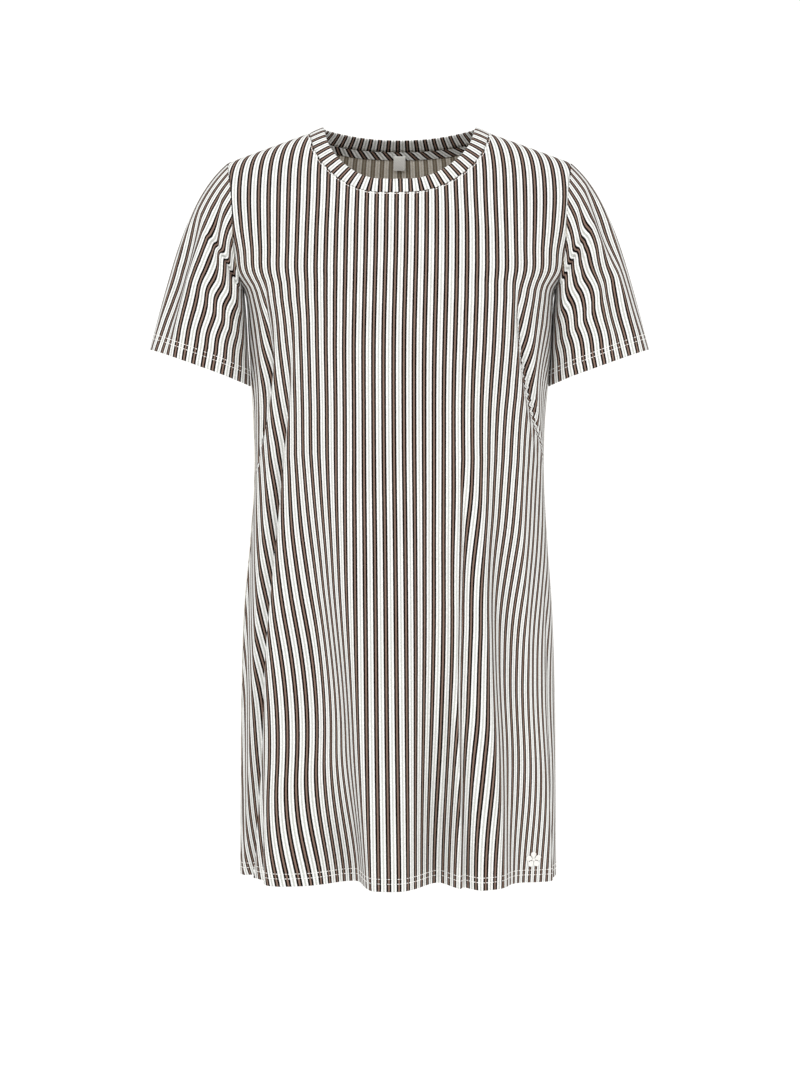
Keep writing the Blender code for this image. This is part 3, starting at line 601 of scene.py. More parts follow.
def top_outline(side):
    """From the left shoulder tip over the neckline to the right shoulder tip."""
    shoulder = np.linspace(SHOULDER_TIP_X, NECK_HALF_WIDTH, SHOULDER_COLUMNS + 1)
    turn = np.linspace(-math.pi / 2, math.pi / 2, NECK_COLUMNS + 1)[1:-1]
    neck_x = NECK_HALF_WIDTH * np.sin(turn)
    neck_z = front_neck_height(neck_x) if side < 0 else back_neck_height(neck_x)
    x = np.concatenate([-shoulder, neck_x, shoulder[::-1]])
    shoulder_z = shoulder_height(shoulder)
    z = np.concatenate([shoulder_z, neck_z, shoulder_z[::-1]])
    outline = place(x, z)
    outline[:len(shoulder), 1] = 0.0
    outline[-len(shoulder):, 1] = 0.0
    return outline


def spread(headings):
    """Headings averaged with their neighbours, so that they fan out round the neck's corners."""
    padded = np.pad(headings, ((CORNER_SPREAD, CORNER_SPREAD), (0, 0)), mode="edge")
    shifts = range(2 * CORNER_SPREAD + 1)
    return unit(sum(padded[shift:shift + len(headings)] for shift in shifts))


def below_top(outline, side):
    """The top outline moved down the cloth by the width of the neck tape."""
    points = body_points(outline[:, 0], outline[:, 1], side)
    across = body_points(outline[:, 0] + PROBE, outline[:, 1], side) - points
    down = body_points(outline[:, 0], outline[:, 1] + PROBE, side) - points
    along = unit(np.gradient(points, axis=0))
    heading = np.cross(along, unit(np.cross(across, down)))
    heading = np.where((heading * down).sum(-1, keepdims=True) < 0, -heading, heading)
    heading = spread(heading)
    steps = np.zeros_like(outline)
    for index in range(1, len(outline) - 1):
        basis = np.stack([across[index], down[index]], axis=-1)
        steps[index] = np.linalg.lstsq(basis, heading[index] * TAPE_WIDTH, rcond=None)[0] * PROBE
    return outline + steps


def side_outline(side, hand):
    """From the hem up the side seam and round the armhole to the shoulder tip. hand is -1 for left."""
    seam_z = np.linspace(HEM_Z, ARMPIT_Z, BODY_ROWS + 1)
    seam = np.stack([np.full(len(seam_z), hand * math.pi / 2), drop_at(hand * math.pi / 2, seam_z)], axis=-1)
    next_to_tip = SHOULDER_TIP_Z - ROLL_AT_TIP * (1 - math.cos(TAPE_WIDTH / ROLL_AT_TIP))
    share = np.linspace(0.0, 1.0, ARMHOLE_ROWS)[1:]
    share = (share + (1 - np.cos(share * math.pi)) / 2) / 2
    armhole_z = np.append(ARMPIT_Z + (next_to_tip - ARMPIT_Z) * share, SHOULDER_TIP_Z)
    x = hand * column(ARMHOLE_LINE, "front_x" if side < 0 else "back_x", armhole_z)
    return np.concatenate([seam, place(x, armhole_z)])


def panel_places(side):
    """Grid of ring angles and drops, rows from the hem up, columns from left to right."""
    top = top_outline(side)
    second = below_top(top, side)
    left = side_outline(side, -1)
    right = side_outline(side, 1)
    second[0], second[-1] = left[-2], right[-2]
    columns = len(top)
    across = np.linspace(0.0, 1.0, columns)[None, :, None]
    hem_angle = np.linspace(-math.pi / 2, math.pi / 2, columns)
    hem = np.stack([hem_angle, drop_at(hem_angle, np.full(columns, HEM_Z))], axis=-1)
    climbed = left[0, 1] - left[:-1, 1]
    up = ((climbed / climbed[-1]) ** LEVEL_ROWS)[:, None, None]
    ends = left[:-1, None] * (1 - across) + right[:-1, None] * across
    hem_bend = hem - (hem[0] * (1 - across[0]) + hem[-1] * across[0])
    top_bend = second - (second[0] * (1 - across[0]) + second[-1] * across[0])
    grid = ends + (1 - up) * hem_bend[None] + up * top_bend[None]
    last = np.linspace(0.0, 1.0, EDGE_ROWS + 1)[1:, None, None]
    return np.concatenate([grid, second * (1 - last) + top * last])


def cut_places(places, side):
    """Where a panel's points lie in its flat cut: across from the middle stripe, and down it."""
    angles = np.linspace(-math.pi / 2, math.pi / 2, CUT_ANGLES)
    drops = np.linspace(0.0, LONGEST_DROP, CUT_DROPS)
    angle, drop = np.meshgrid(angles, drops)
    points = body_points(angle, drop, side)
    steps = np.linalg.norm(np.diff(points[..., :2], axis=1), axis=2)
    arc = np.concatenate([np.zeros((len(drops), 1)), np.cumsum(steps, axis=1)], axis=1)
    top_x = TOP_HALF_WIDTH * ring_share(angles)
    slope = np.arctan(SHOULDER_SLOPE * top_x / rounded(top_x))
    turned = np.clip(drop / roll_radius(top_x), 0.0, math.pi / 2)
    lean = np.arccos(np.sin(np.abs(slope)) * np.sin(turned)) - (math.pi / 2 - np.abs(slope))
    over = np.cumsum((np.sin(lean) * np.sign(slope))[::-1], axis=0)[::-1] * drops[1]
    middle = len(angles) // 2
    height = points[:, middle, 2]
    grain_x = column(FRONT_GRAIN, "x", height) if side < 0 else np.zeros(len(drops))
    grain_angle = angle_at(grain_x, height)
    start = np.array([np.interp(at, angles, row) for at, row in zip(grain_angle, arc)])
    across = arc - start[:, None] + over
    column_at = (places[..., 0] - angles[0]) / (angles[1] - angles[0])
    row_at = places[..., 1] / drops[1]
    left = np.clip(column_at.astype(int), 0, len(angles) - 2)
    low = np.clip(row_at.astype(int), 0, len(drops) - 2)
    s, t = column_at - left, row_at - low
    found = (
        across[low, left] * (1 - s) * (1 - t)
        + across[low, left + 1] * s * (1 - t)
        + across[low + 1, left] * (1 - s) * t
        + across[low + 1, left + 1] * s * t
    )
    height = body_points(places[..., 0], places[..., 1], side)[..., 2]
    return np.stack([found + tucked(places[..., 0], height, side)[1], -places[..., 1]], axis=-1)


# Walls and seams

def grid_normals(points, ring=False):
    """Outward normals of a grid whose rows run up and whose columns run to the right seen from outside."""
    if ring:
        across = np.roll(points, -1, axis=1) - np.roll(points, 1, axis=1)
    else:
        across = np.gradient(points, axis=1)
    up = np.gradient(points, axis=0)
    return unit(np.cross(across, up))


def armhole_normals(points):
    """Directions through the wall round an armhole, from the seam's inside to its outside."""
    along = along_ring(points)
    return unit(np.cross(along, -SIDEWAYS))


def band_lean(points):
    """Which way the neckband stands away from its seam, round the neck."""
    turn = np.arctan2(points[:, 0] / NECK_HALF_WIDTH, -points[:, 1] / NECK_HALF_DEPTH)
    frontness = np.clip(np.cos(turn), 0.0, 1.0)[:, None] ** 2
    backness = np.clip(-np.cos(turn), 0.0, 1.0)[:, None] ** 2
    sideness = 1 - frontness - backness
    inwards = BAND_LEAN_SIDE * np.stack(
        [-np.sign(points[:, 0]), np.ones(len(points)), np.ones(len(points))], axis=-1
    )
    lean = unit(frontness * BAND_LEAN_FRONT + backness * BAND_LEAN_BACK + sideness * inwards)
    along = along_ring(points)
    return unit(lean - (lean * along).sum(-1, keepdims=True) * along)


class Body:
    """Outer grids of the front and back, with wall directions that agree along their seams."""

    def __init__(self):
        self.outer = {}
        self.normal = {}
        self.cut = {}
        for side in (-1, 1):
            places = panel_places(side)
            points = body_points(places[..., 0], places[..., 1], side)
            self.outer[side] = points
            self.normal[side] = grid_normals(points) * -side
            self.cut[side] = cut_places(places, side)
        self.join_sides_and_shoulders()
        self.join_neck()
        self.join_armholes()

    def join_sides_and_shoulders(self):
        front, back = self.normal[-1], self.normal[1]
        for edge in (0, -1):
            shared = unit(front[:BODY_ROWS, edge] + back[:BODY_ROWS, edge])
            front[:BODY_ROWS, edge] = back[:BODY_ROWS, edge] = shared
        for strip in (slice(0, SHOULDER_COLUMNS), slice(-SHOULDER_COLUMNS, None)):
            front[-1, strip] = back[-1, strip] = UP

    def join_neck(self):
        neck = slice(SHOULDER_COLUMNS, -SHOULDER_COLUMNS)
        front_seam, back_seam = self.outer[-1][-1, neck], self.outer[1][-1, neck]
        ring = np.concatenate([front_seam, back_seam[::-1][1:-1]])
        self.neck = ring
        self.lean = band_lean(ring)
        along = along_ring(ring)
        self.neck_normal = unit(np.cross(along, self.lean))
        count = NECK_COLUMNS + 1
        self.normal[-1][-1, neck] = self.neck_normal[:count]
        back_part = np.concatenate([self.neck_normal[count - 1:], self.neck_normal[:1]])
        self.normal[1][-1, neck] = back_part[::-1]

    def join_armholes(self):
        self.armholes = {}
        for hand, edge in ((-1, 0), (1, -1)):
            up_front = self.outer[-1][BODY_ROWS:, edge]
            down_back = self.outer[1][BODY_ROWS:, edge][::-1]
            ring = np.concatenate([up_front, down_back[1:-1]])
            normals = armhole_normals(ring)
            top = len(up_front) - 1
            self.armholes[hand] = ring
            self.normal[-1][BODY_ROWS:, edge] = normals[:top + 1]
            around_back = np.concatenate([normals[top:], normals[:1]])
            self.normal[1][BODY_ROWS:, edge] = around_back[::-1]


@lru_cache(maxsize=None)
def body():
    return Body()


# Cloth: a grid with its outward directions, its places in the flat cut, and how far its edges turn

Sheet = namedtuple("Sheet", "points normals cut turn")


def reversed_rows(sheet):
    return Sheet(*(grid[::-1] for grid in sheet))


def reversed_columns(sheet):
    return Sheet(*(grid[:, ::-1] for grid in sheet))


def swapped(sheet):
    return Sheet(*(np.swapaxes(grid, 0, 1) for grid in sheet))


def last_row_frame(sheet, ring):
    """Directions away from a sheet past its last row, in space and in the flat cut."""
    line, before = sheet.points[-1], sheet.points[-2]
    along = along_ring(line) if ring else unit(np.gradient(line, axis=0))
    away = line - before
    away = away - (away * along).sum(-1, keepdims=True) * along
    return unit(away), unit(sheet.cut[-1] - sheet.cut[-2])


def with_turned_edge(sheet, radius, degrees, lip=0.0, ring=False):
    """Turns the cloth inwards at its last row, as a seam or a hem does."""
    away, cut_away = last_row_frame(sheet, ring)
    points, normals, cuts, turns = [], [], [], []
    amount = sheet.turn[-1][:, None]
    stations = [(math.radians(deg), 0.0) for deg in degrees]
    if lip:
        stations.append((stations[-1][0], lip))
    for angle, beyond in stations:
        out = radius * (math.sin(angle) - 1) + beyond * math.cos(angle)
        inward = radius * (1 - math.cos(angle)) + beyond * math.sin(angle)
        moved = away * (out * amount - HALF_GAP) - sheet.normals[-1] * inward * amount
        points.append(sheet.points[-1] + moved)
        normals.append(sheet.normals[-1])
        cuts.append(sheet.cut[-1] + cut_away * (radius * (angle - 1) + beyond))
        turns.append(sheet.turn[-1])
    return Sheet(
        np.concatenate([sheet.points[:-1], points]),
        np.concatenate([sheet.normals[:-1], normals]),
        np.concatenate([sheet.cut[:-1], cuts]),
        np.concatenate([sheet.turn[:-1], turns]),
    )


def at_distance(sheet, distance):
    """A sheet's points, directions and cut places at a distance along it from its last row."""
    points, normals, cuts = [], [], []
    for index in range(sheet.points.shape[1]):
        line = sheet.points[::-1, index]
        rows = np.concatenate([line, sheet.normals[::-1, index], sheet.cut[::-1, index]], axis=1)
        found = read_along(way_along(line), rows, distance)
        points.append(found[:3])
        normals.append(found[3:6])
        cuts.append(found[6:])
    return np.array(points), unit(np.array(normals)), np.array(cuts)


def with_turned_up_hem(sheet, radius, width, steps, ring=False):
    """Folds the cloth under at its last row and runs it back up on the inside."""
    folded = with_turned_edge(sheet, radius, HEM_TURN_DEG, ring=ring)
    inside = []
    for distance in np.linspace(radius, width, steps + 1)[1:]:
        points, normals, cut = at_distance(sheet, distance)
        mirrored = 2 * sheet.cut[-1] - cut
        mirrored[:, 0] = cut[:, 0]
        inside.append((points - normals * 2 * radius, -normals, mirrored))
    points, normals, cuts = (np.array(items) for items in zip(*inside))
    quiet = np.zeros(points.shape[:2])
    return Sheet(
        np.concatenate([folded.points, points]),
        np.concatenate([folded.normals, normals]),
        np.concatenate([folded.cut, cuts]),
        np.concatenate([folded.turn, quiet]),
    )


def link(made):
    bpy.context.scene.collection.objects.link(made)
    return made


def grid_object(name, sheet, ring, materials):
    """One layer of cloth with its cut as a UV map, seen from its right side."""
    rows, columns = sheet.points.shape[:2]
    index = np.arange(rows * columns).reshape(rows, columns)
    right = np.roll(index, -1, axis=1) if ring else index[:, 1:]
    left = index if ring else index[:, :-1]
    corners = np.stack([left[:-1], right[:-1], right[1:], left[1:]], axis=-1).reshape(-1, 4)
    mesh = bpy.data.meshes.new(name)
    mesh.from_pydata(sheet.points.reshape(-1, 3).tolist(), [], corners.tolist())
    cut = mesh.uv_layers.new(name="Cut")
    flat = sheet.cut.reshape(-1, 2)[corners.reshape(-1)]
    cut.data.foreach_set("uv", flat.astype(np.float32).reshape(-1))
    for material in materials:
        mesh.materials.append(material)
    mesh.shade_smooth()
    return link(bpy.data.objects.new(name, mesh))


def add_thickness(made, thickness):
    """Gives cloth its thickness on the inside, with the wrong side's material there."""
    solidify = made.modifiers.new("Cloth thickness", "SOLIDIFY")
    solidify.thickness = thickness
    solidify.offset = -1.0
    solidify.use_quality_normals = True
    if len(made.data.materials) > 1:
        solidify.material_offset = 1
    return made


# Materials

def add_node(tree, kind, settings=None, links=None):
    """Adds a node, sets its inputs or attributes by name or number, and links what feeds it."""
    node = tree.nodes.new(kind)
    for key, value in (settings or {}).items():
        if isinstance(key, int) or key in node.inputs:
            node.inputs[key].default_value = value
        else:
            setattr(node, key, value)
    for key, source in (links or {}).items():
        tree.links.new(source, node.inputs[key])
    return node


def start_material(name, roughness, sheen, specular):
    """A material, its tree and its shader."""
    material = bpy.data.materials.new(name)
    material.use_nodes = True
    shader = material.node_tree.nodes["Principled BSDF"]
    shader.inputs["Roughness"].default_value = roughness
    shader.inputs["Sheen Weight"].default_value = sheen
    shader.inputs["Sheen Roughness"].default_value = 0.5
    shader.inputs["Specular IOR Level"].default_value = specular
    return material, material.node_tree, shader


def fill_ramp(node, stops):
    """Sets a colour ramp's stops from places and colours."""
    ramp = node.color_ramp
    while len(ramp.elements) > 1:
        ramp.elements.remove(ramp.elements[-1])
    ramp.elements[0].position = stops[0][0]
    ramp.elements[0].color = (*stops[0][1], 1.0)
    for position, colour in stops[1:]:
        ramp.elements.new(position).color = (*colour, 1.0)


def jersey(name, look, colours, lean_deg=0.0, bump=0.35):
    """Single jersey, yarn-dyed in stripes and knitted: matt, with a little fuzz and small loops."""
    material, tree, shader = start_material(name, roughness=0.92, sheen=0.02, specular=0.08)
    cut = add_node(tree, "ShaderNodeUVMap", {"uv_map": "Cut"})
    turned = add_node(
        tree,
        "ShaderNodeMapping",
        {"Rotation": (0.0, 0.0, math.radians(lean_deg))},
        {"Vector": cut.outputs["UV"]},
    )
    axes = add_node(tree, "ShaderNodeSeparateXYZ", links={"Vector": turned.outputs["Vector"]})
    uneven = add_node(
        tree,
        "ShaderNodeTexNoise",
        {"Scale": 1 / look.yarn_unevenness, "Detail": 2.0},
        {"Vector": turned.outputs["Vector"]},
    )
    shift = add_node(
        tree,
        "ShaderNodeMath",
        {"operation": "MULTIPLY_ADD", 1: look.stripe_wander, 2: -look.stripe_wander / 2},
        {0: uneven.outputs["Fac"]},
    )
    across = add_node(
        tree, "ShaderNodeMath", {"operation": "ADD"}, {0: axes.outputs["X"], 1: shift.outputs[0]}
    )
    folded = add_node(
        tree, "ShaderNodeMath", {"operation": "PINGPONG", 1: look.repeat / 2}, {0: across.outputs[0]}
    )
    share = add_node(
        tree, "ShaderNodeMath", {"operation": "DIVIDE", 1: look.repeat / 2}, {0: folded.outputs[0]}
    )
    stripes = add_node(tree, "ShaderNodeValToRGB", links={"Fac": share.outputs[0]})
    taupe, edge, white, line = colours
    # Each colour runs into the next over a few hundredths of the repeat, as yarns do
    fill_ramp(
        stripes,
        (
            (0.0, taupe),
            (look.taupe_share - 0.03, taupe),
            (look.taupe_share + 0.03, edge),
            (look.edge_share - 0.04, edge),
            (look.edge_share + 0.03, white),
            (look.line_share - 0.05, white),
            (look.line_share + 0.04, line),
            (1.0, line),
        ),
    )
    wale = add_node(
        tree, "ShaderNodeMath", {"operation": "DIVIDE", 1: look.loop_width}, {0: axes.outputs["X"]}
    )
    slant = add_node(tree, "ShaderNodeMath", {"operation": "PINGPONG", 1: 0.5}, {0: wale.outputs[0]})
    course = add_node(
        tree,
        "ShaderNodeMath",
        {"operation": "MULTIPLY_ADD", 1: 1 / look.loop_height},
        {0: axes.outputs["Y"], 2: slant.outputs[0]},
    )
    loops = add_node(
        tree, "ShaderNodeMath", {"operation": "PINGPONG", 1: 0.5}, {0: course.outputs[0]}
    )
    height = add_node(
        tree, "ShaderNodeMath", {"operation": "MULTIPLY"}, {0: slant.outputs[0], 1: loops.outputs[0]}
    )
    specks = add_node(
        tree,
        "ShaderNodeTexNoise",
        {"Scale": 1 / look.speck_size, "Detail": 1.0},
        {"Vector": turned.outputs["Vector"]},
    )
    speck_shade = add_node(tree, "ShaderNodeValToRGB", links={"Fac": specks.outputs["Fac"]})
    fill_ramp(speck_shade, tuple(zip(SPECK_FADE, (SPECK_DARKEST, (1.0, 1.0, 1.0)))))
    speckled = add_node(
        tree,
        "ShaderNodeMix",
        {"data_type": "RGBA", "blend_type": "MULTIPLY", "Factor": SPECK_STRENGTH},
        {6: stripes.outputs["Color"], 7: speck_shade.outputs["Color"]},
    )
    relief = add_node(
        tree,
        "ShaderNodeBump",
        {"Strength": bump, "Distance": look.loop_depth},
        {"Height": height.outputs[0]},
    )
    tree.links.new(speckled.outputs[2], shader.inputs["Base Color"])
    tree.links.new(relief.outputs["Normal"], shader.inputs["Normal"])
    return material


def spun_thread(look):
    """Spun polyester sewing thread: off-white, soft sheen, its twist as fine slanted ridges."""
    material, tree, shader = start_material(
        "Spun polyester thread", roughness=0.6, sheen=0.1, specular=0.35
    )
    place_at = add_node(tree, "ShaderNodeTexCoord")
    twist = add_node(
        tree,
        "ShaderNodeTexWave",
        {"Scale": 1 / look.thread / TWIST_SPAN, "Distortion": 1.0},
        {"Vector": place_at.outputs["Object"]},
    )
    shade = add_node(tree, "ShaderNodeValToRGB", links={"Fac": twist.outputs["Fac"]})
    colour = tuple(look.thread_colour)
    fill_ramp(shade, ((0.0, tuple(TWIST_SHADOW * value for value in colour)), (1.0, colour)))
    relief = add_node(
        tree, "ShaderNodeBump", {"Strength": 0.4, "Distance": 0.0001}, {"Height": twist.outputs["Fac"]}
    )
    tree.links.new(shade.outputs["Color"], shader.inputs["Base Color"])
    tree.links.new(relief.outputs["Normal"], shader.inputs["Normal"])
    return material


def woven_tab_cloth():
    """Polyester satin ribbon: white, slightly glossy, with a fine twill across it."""
    material, tree, shader = start_material(
        "Polyester satin ribbon", roughness=0.45, sheen=0.1, specular=0.45
    )
    cut = add_node(tree, "ShaderNodeUVMap", {"uv_map": "Cut"})
    twill = add_node(
        tree,
        "ShaderNodeTexWave",
        {"Scale": TWILL_SCALE, "bands_direction": "DIAGONAL"},
        {"Vector": cut.outputs["UV"]},
    )
    # The twill's valleys are coloured darker than its ribs: painted shade, following the same waves as the
    # relief
    shade = add_node(tree, "ShaderNodeValToRGB", links={"Fac": twill.outputs["Fac"]})
    fill_ramp(shade, ((0.0, linear("dedcd6")), (1.0, linear("f6f5f0"))))
    relief = add_node(
        tree, "ShaderNodeBump", {"Strength": 0.3, "Distance": 0.0001}, {"Height": twill.outputs["Fac"]}
    )
    tree.links.new(shade.outputs["Color"], shader.inputs["Base Color"])
    tree.links.new(relief.outputs["Normal"], shader.inputs["Normal"])
    return material


def stage_paper(glow):
    """Matt background paper: near white, barely uneven, and lit a little so that it stays white."""
    material, tree, shader = start_material(
        "Matt background paper", roughness=0.95, sheen=0.0, specular=0.1
    )
    place_at = add_node(tree, "ShaderNodeTexCoord")
    mottle = add_node(
        tree, "ShaderNodeTexNoise", {"Scale": 3.0, "Detail": 2.0}, {"Vector": place_at.outputs["Object"]}
    )
    shade = add_node(tree, "ShaderNodeValToRGB", links={"Fac": mottle.outputs["Fac"]})
    fill_ramp(shade, ((0.3, linear("f4f4f2")), (0.7, linear("f8f8f7"))))
    tree.links.new(shade.outputs["Color"], shader.inputs["Base Color"])
    shader.inputs["Emission Color"].default_value = (1.0, 1.0, 1.0, 1.0)
    shader.inputs["Emission Strength"].default_value = glow
    return material


@lru_cache(maxsize=None)
def material_for(name):
    """The garment's materials, each made once, with the sizes and colours of the panel."""
    look = bpy.context.scene.nightshirt_jersey
    outside = (look.taupe, look.edge, look.white, look.line)
    inside = (look.wrong_taupe, look.wrong_edge, look.wrong_white, look.wrong_line)
    if name == "jersey":
        return jersey("Striped cotton jersey", look, outside)
    if name == "wrong side":
        return jersey("Striped cotton jersey wrong side", look, inside, bump=0.5)
    if name == "band":
        return jersey("Striped cotton jersey across the band", look, outside)
    if name == "tape":
        return jersey("Striped cotton jersey on the bias", look, outside, lean_deg=look.tape_lean)
    if name == "thread":
        return spun_thread(bpy.context.scene.nightshirt_sewing)
    if name == "tab":
        return woven_tab_cloth()
    return stage_paper(bpy.context.scene.nightshirt_stage.paper_glow)


def two_sided(name):
    """A cloth's material with that of its wrong side."""
    return material_for(name), material_for("wrong side")


# Sleeves

def bezier(start, start_arm, end_arm, end, along):
    t = along[:, None, None]
    return (
        start * (1 - t) ** 3
        + 3 * start_arm * t * (1 - t) ** 2
        + 3 * end_arm * t * t * (1 - t)
        + end * t ** 3
    )


def degrees_round(ring):
    """Where each armhole point lies round the sleeve, by its share of the seam's length."""
    steps = np.linalg.norm(np.roll(ring, -1, axis=0) - ring, axis=1)
    travelled = np.concatenate([[0.0], np.cumsum(steps)[:-1]])
    half = travelled[ARMHOLE_ROWS + EDGE_ROWS - 1]
    front = 180 * (1 - travelled / half)
    back = -180 * (travelled - half) / (steps.sum() - half)
    return np.where(travelled <= half, front, back)


def cuff_ring(turn, hand):
    """The open end of a sleeve, an oval square to its outer and inner lines."""
    outer_x, outer_z = CUFF_OUTER
    inner_x, inner_z = CUFF_INNER
    middle = np.array((hand * (outer_x + inner_x) / 2, 0.0, (outer_z + inner_z) / 2))
    reach = np.array((hand * (outer_x - inner_x) / 2, 0.0, (outer_z - inner_z) / 2))
    axis = unit(np.array((hand * reach[2], 0.0, -hand * reach[0])))
    cuff = middle + np.cos(turn)[:, None] * reach
    cuff[:, 1] -= CUFF_HALF_DEPTH * np.sin(turn)
    backness = np.clip(-np.sin(turn), 0.0, 1.0)[:, None]
    return cuff - axis * CUFF_BACK_RISE * backness


def sloping(degrees, hand):
    """Directions that fall outwards at an angle below the level."""
    slope = np.radians(degrees)
    return np.stack([hand * np.cos(slope), np.zeros_like(slope), -np.sin(slope)], axis=-1)


def slanting(crease, degrees, along):
    """How strong a sleeve's crease is at a place, and how many of its widths the place lies beside it."""
    travelled = np.clip((along - crease.along_start) / (crease.along_end - crease.along_start), 0.0, 1.0)
    path = crease.deg_start + (crease.deg_end - crease.deg_start) * travelled
    return np.sin(math.pi * travelled), (degrees - path) / crease.width_deg


def sleeve_folds(folds, degrees, along):
    """Sum of a sleeve's folds' heights at a place."""
    total = np.zeros(np.broadcast(degrees, along).shape)
    for fold in folds:
        strength, beside = slanting(fold, degrees, along)
        total += fold.height * np.clip(1 - beside ** 2, 0.0, 1.0) ** 2 * strength
    return total * smoothstep(along, 0.0, FOLD_FREE_LENGTH)


def pinched(pinches, degrees, along):
    """How deep a sleeve's creases go in at a place, and how far they push its stripes round."""
    depth, shift = 0.0, 0.0
    for pinch in pinches:
        strength, beside = slanting(pinch, degrees, along)
        depth = depth + pinch.depth * np.exp(-beside ** 2) * strength
        shift = shift + pinch.shift * np.tanh(beside) * np.exp(-(beside / SHIFT_REACH) ** 2) * strength
    return depth * smoothstep(along, 0.0, FOLD_FREE_LENGTH), shift


def sleeve_outer(ring, hand, folds, pinches):
    """Lengthwise lines from the armhole's points to the cuff's, rows from the armhole to the cuff."""
    degrees = degrees_round(ring)
    turn = np.radians(degrees)
    cuff = cuff_ring(turn, hand)
    upness = np.clip((ring[:, 2] - ARMPIT_Z) / (SHOULDER_TIP_Z - ARMPIT_Z), 0.0, 1.0) ** SLOPE_POWER
    outness = (1 + np.cos(turn)) / 2
    start = sloping(UNDER_START_DEG + (UPPER_START_DEG - UNDER_START_DEG) * upness, hand)
    end = sloping(UNDER_END_DEG + (UPPER_END_DEG - UNDER_END_DEG) * outness, hand)
    start_pull = (UNDER_PULL + (UPPER_START_PULL - UNDER_PULL) * outness)[:, None]
    end_pull = (UNDER_PULL + (UPPER_END_PULL - UNDER_PULL) * outness)[:, None]
    along = np.linspace(0.0, 1.0, SLEEVE_ROWS + 1)
    points = bezier(ring, ring + start * start_pull, cuff - end * end_pull, cuff, along)
    outward = sleeve_folds(folds, degrees[None, :], along[:, None])
    outward = outward - pinched(pinches, degrees[None, :], along[:, None])[0]
    return points + outward[..., None] * grid_normals(points, ring=True) * -hand


def flattened(points, start, rounds):
    """Lays a grid flat with as little stretch as possible, starting from a rough lay."""
    rows, columns = points.shape[:2]
    index = np.arange(rows * columns).reshape(rows, columns)
    a, b, c, d = index[:-1, :-1], index[:-1, 1:], index[1:, 1:], index[1:, :-1]
    corners = np.concatenate([np.stack([a, b, c], -1), np.stack([a, c, d], -1)]).reshape(-1, 3)
    place_of = points.reshape(-1, 3)[corners]
    first, second = place_of[:, 1] - place_of[:, 0], place_of[:, 2] - place_of[:, 0]
    base = np.linalg.norm(first, axis=1)
    lay = start.reshape(-1, 2)[corners]
    side_a, side_b = lay[:, 1] - lay[:, 0], lay[:, 2] - lay[:, 0]
    facing = np.sign((side_a[:, 0] * side_b[:, 1] - side_a[:, 1] * side_b[:, 0]).sum())
    flat = np.zeros((len(corners), 3, 2))
    flat[:, 1, 0] = base
    flat[:, 2, 0] = (second * first).sum(1) / base
    flat[:, 2, 1] = facing * np.linalg.norm(np.cross(first, second), axis=1) / base
    count = rows * columns
    stiffness = np.zeros((count, count))
    edges = []
    # The weights of very thin triangles are kept within bounds
    for i, j, k in ((0, 1, 2), (1, 2, 0), (2, 0, 1)):
        to_i, to_j = flat[:, i] - flat[:, k], flat[:, j] - flat[:, k]
        turn = np.abs(to_i[:, 0] * to_j[:, 1] - to_i[:, 1] * to_j[:, 0])
        weight = np.clip((to_i * to_j).sum(1) / turn / 2, 0.01, 20.0)
        edges.append((corners[:, i], corners[:, j], flat[:, j] - flat[:, i], weight))
        for row, col, sign in ((i, i, 1), (j, j, 1), (i, j, -1), (j, i, -1)):
            np.add.at(stiffness, (corners[:, row], corners[:, col]), sign * weight)
    stiffness[0, 0] += 1.0
    solver = np.linalg.inv(stiffness)
    laid = start.reshape(-1, 2).copy()
    for _ in range(rounds):
        shape = sum(
            weight[:, None, None] * (laid[j] - laid[i])[:, :, None] * edge[:, None, :]
            for i, j, edge, weight in edges
        )
        left, _, right = np.linalg.svd(shape)
        left[:, :, 1] *= np.sign(np.linalg.det(left @ right))[:, None]
        rotation = left @ right
        wanted = np.zeros((count, 2))
        wanted[0] = laid[0]
        for i, j, edge, weight in edges:
            turned = np.einsum("nij,nj->ni", rotation, edge) * weight[:, None]
            np.add.at(wanted, j, turned)
            np.add.at(wanted, i, -turned)
        laid = solver @ wanted
    return laid.reshape(rows, columns, 2)


def all_rows(grid, rows, count):
    """A grid with the rows between its own ones filled in, turned so that its columns are the rows."""
    filled = curve_through(rows, grid.reshape(len(rows), -1), np.arange(count))
    return filled.reshape(count, grid.shape[1], 2).transpose(1, 0, 2)


def sleeve_cut(points, top, pinches):
    """A sleeve slit along its underarm and laid flat, its top line straight down the middle."""
    closed = np.concatenate([points, points[:, :1]], axis=1)
    rows = np.linspace(0, len(closed) - 1, LAID_ROWS).astype(int)
    columns = np.linspace(0, closed.shape[1] - 1, LAID_COLUMNS).astype(int)
    columns = np.unique(np.append(columns, top))
    few = closed[rows][:, columns]
    middle = int(np.where(columns == top)[0][0])
    steps = np.linalg.norm(np.diff(few, axis=1), axis=2)
    arc = np.concatenate([np.zeros((len(rows), 1)), np.cumsum(steps, axis=1)], axis=1)
    down = way_along(few[:, middle])
    start = np.stack([arc - arc[:, [middle]], -np.broadcast_to(down[:, None], arc.shape)], axis=-1)
    laid = flattened(few, start, LAYING_ROUNDS)
    line = laid[:, middle]
    heading = unit(line[0] - line[-1])
    turn = np.array(((heading[1], -heading[0]), (heading[0], heading[1])))
    laid = (laid - line[0]) @ turn.T
    finer = all_rows(all_rows(laid, rows, len(closed)), columns, closed.shape[1])[:, :-1]
    along = np.linspace(0.0, 1.0, len(points))[:, None]
    finer[..., 0] += pinched(pinches, degrees_round(points[0])[None, :], along)[1]
    return finer


# Geometry Nodes: sewing

def tree_input(tree, name, kind, default=None):
    socket = tree.interface.new_socket(name=name, in_out="INPUT", socket_type=kind)
    if default is not None:
        socket.default_value = default
    return socket


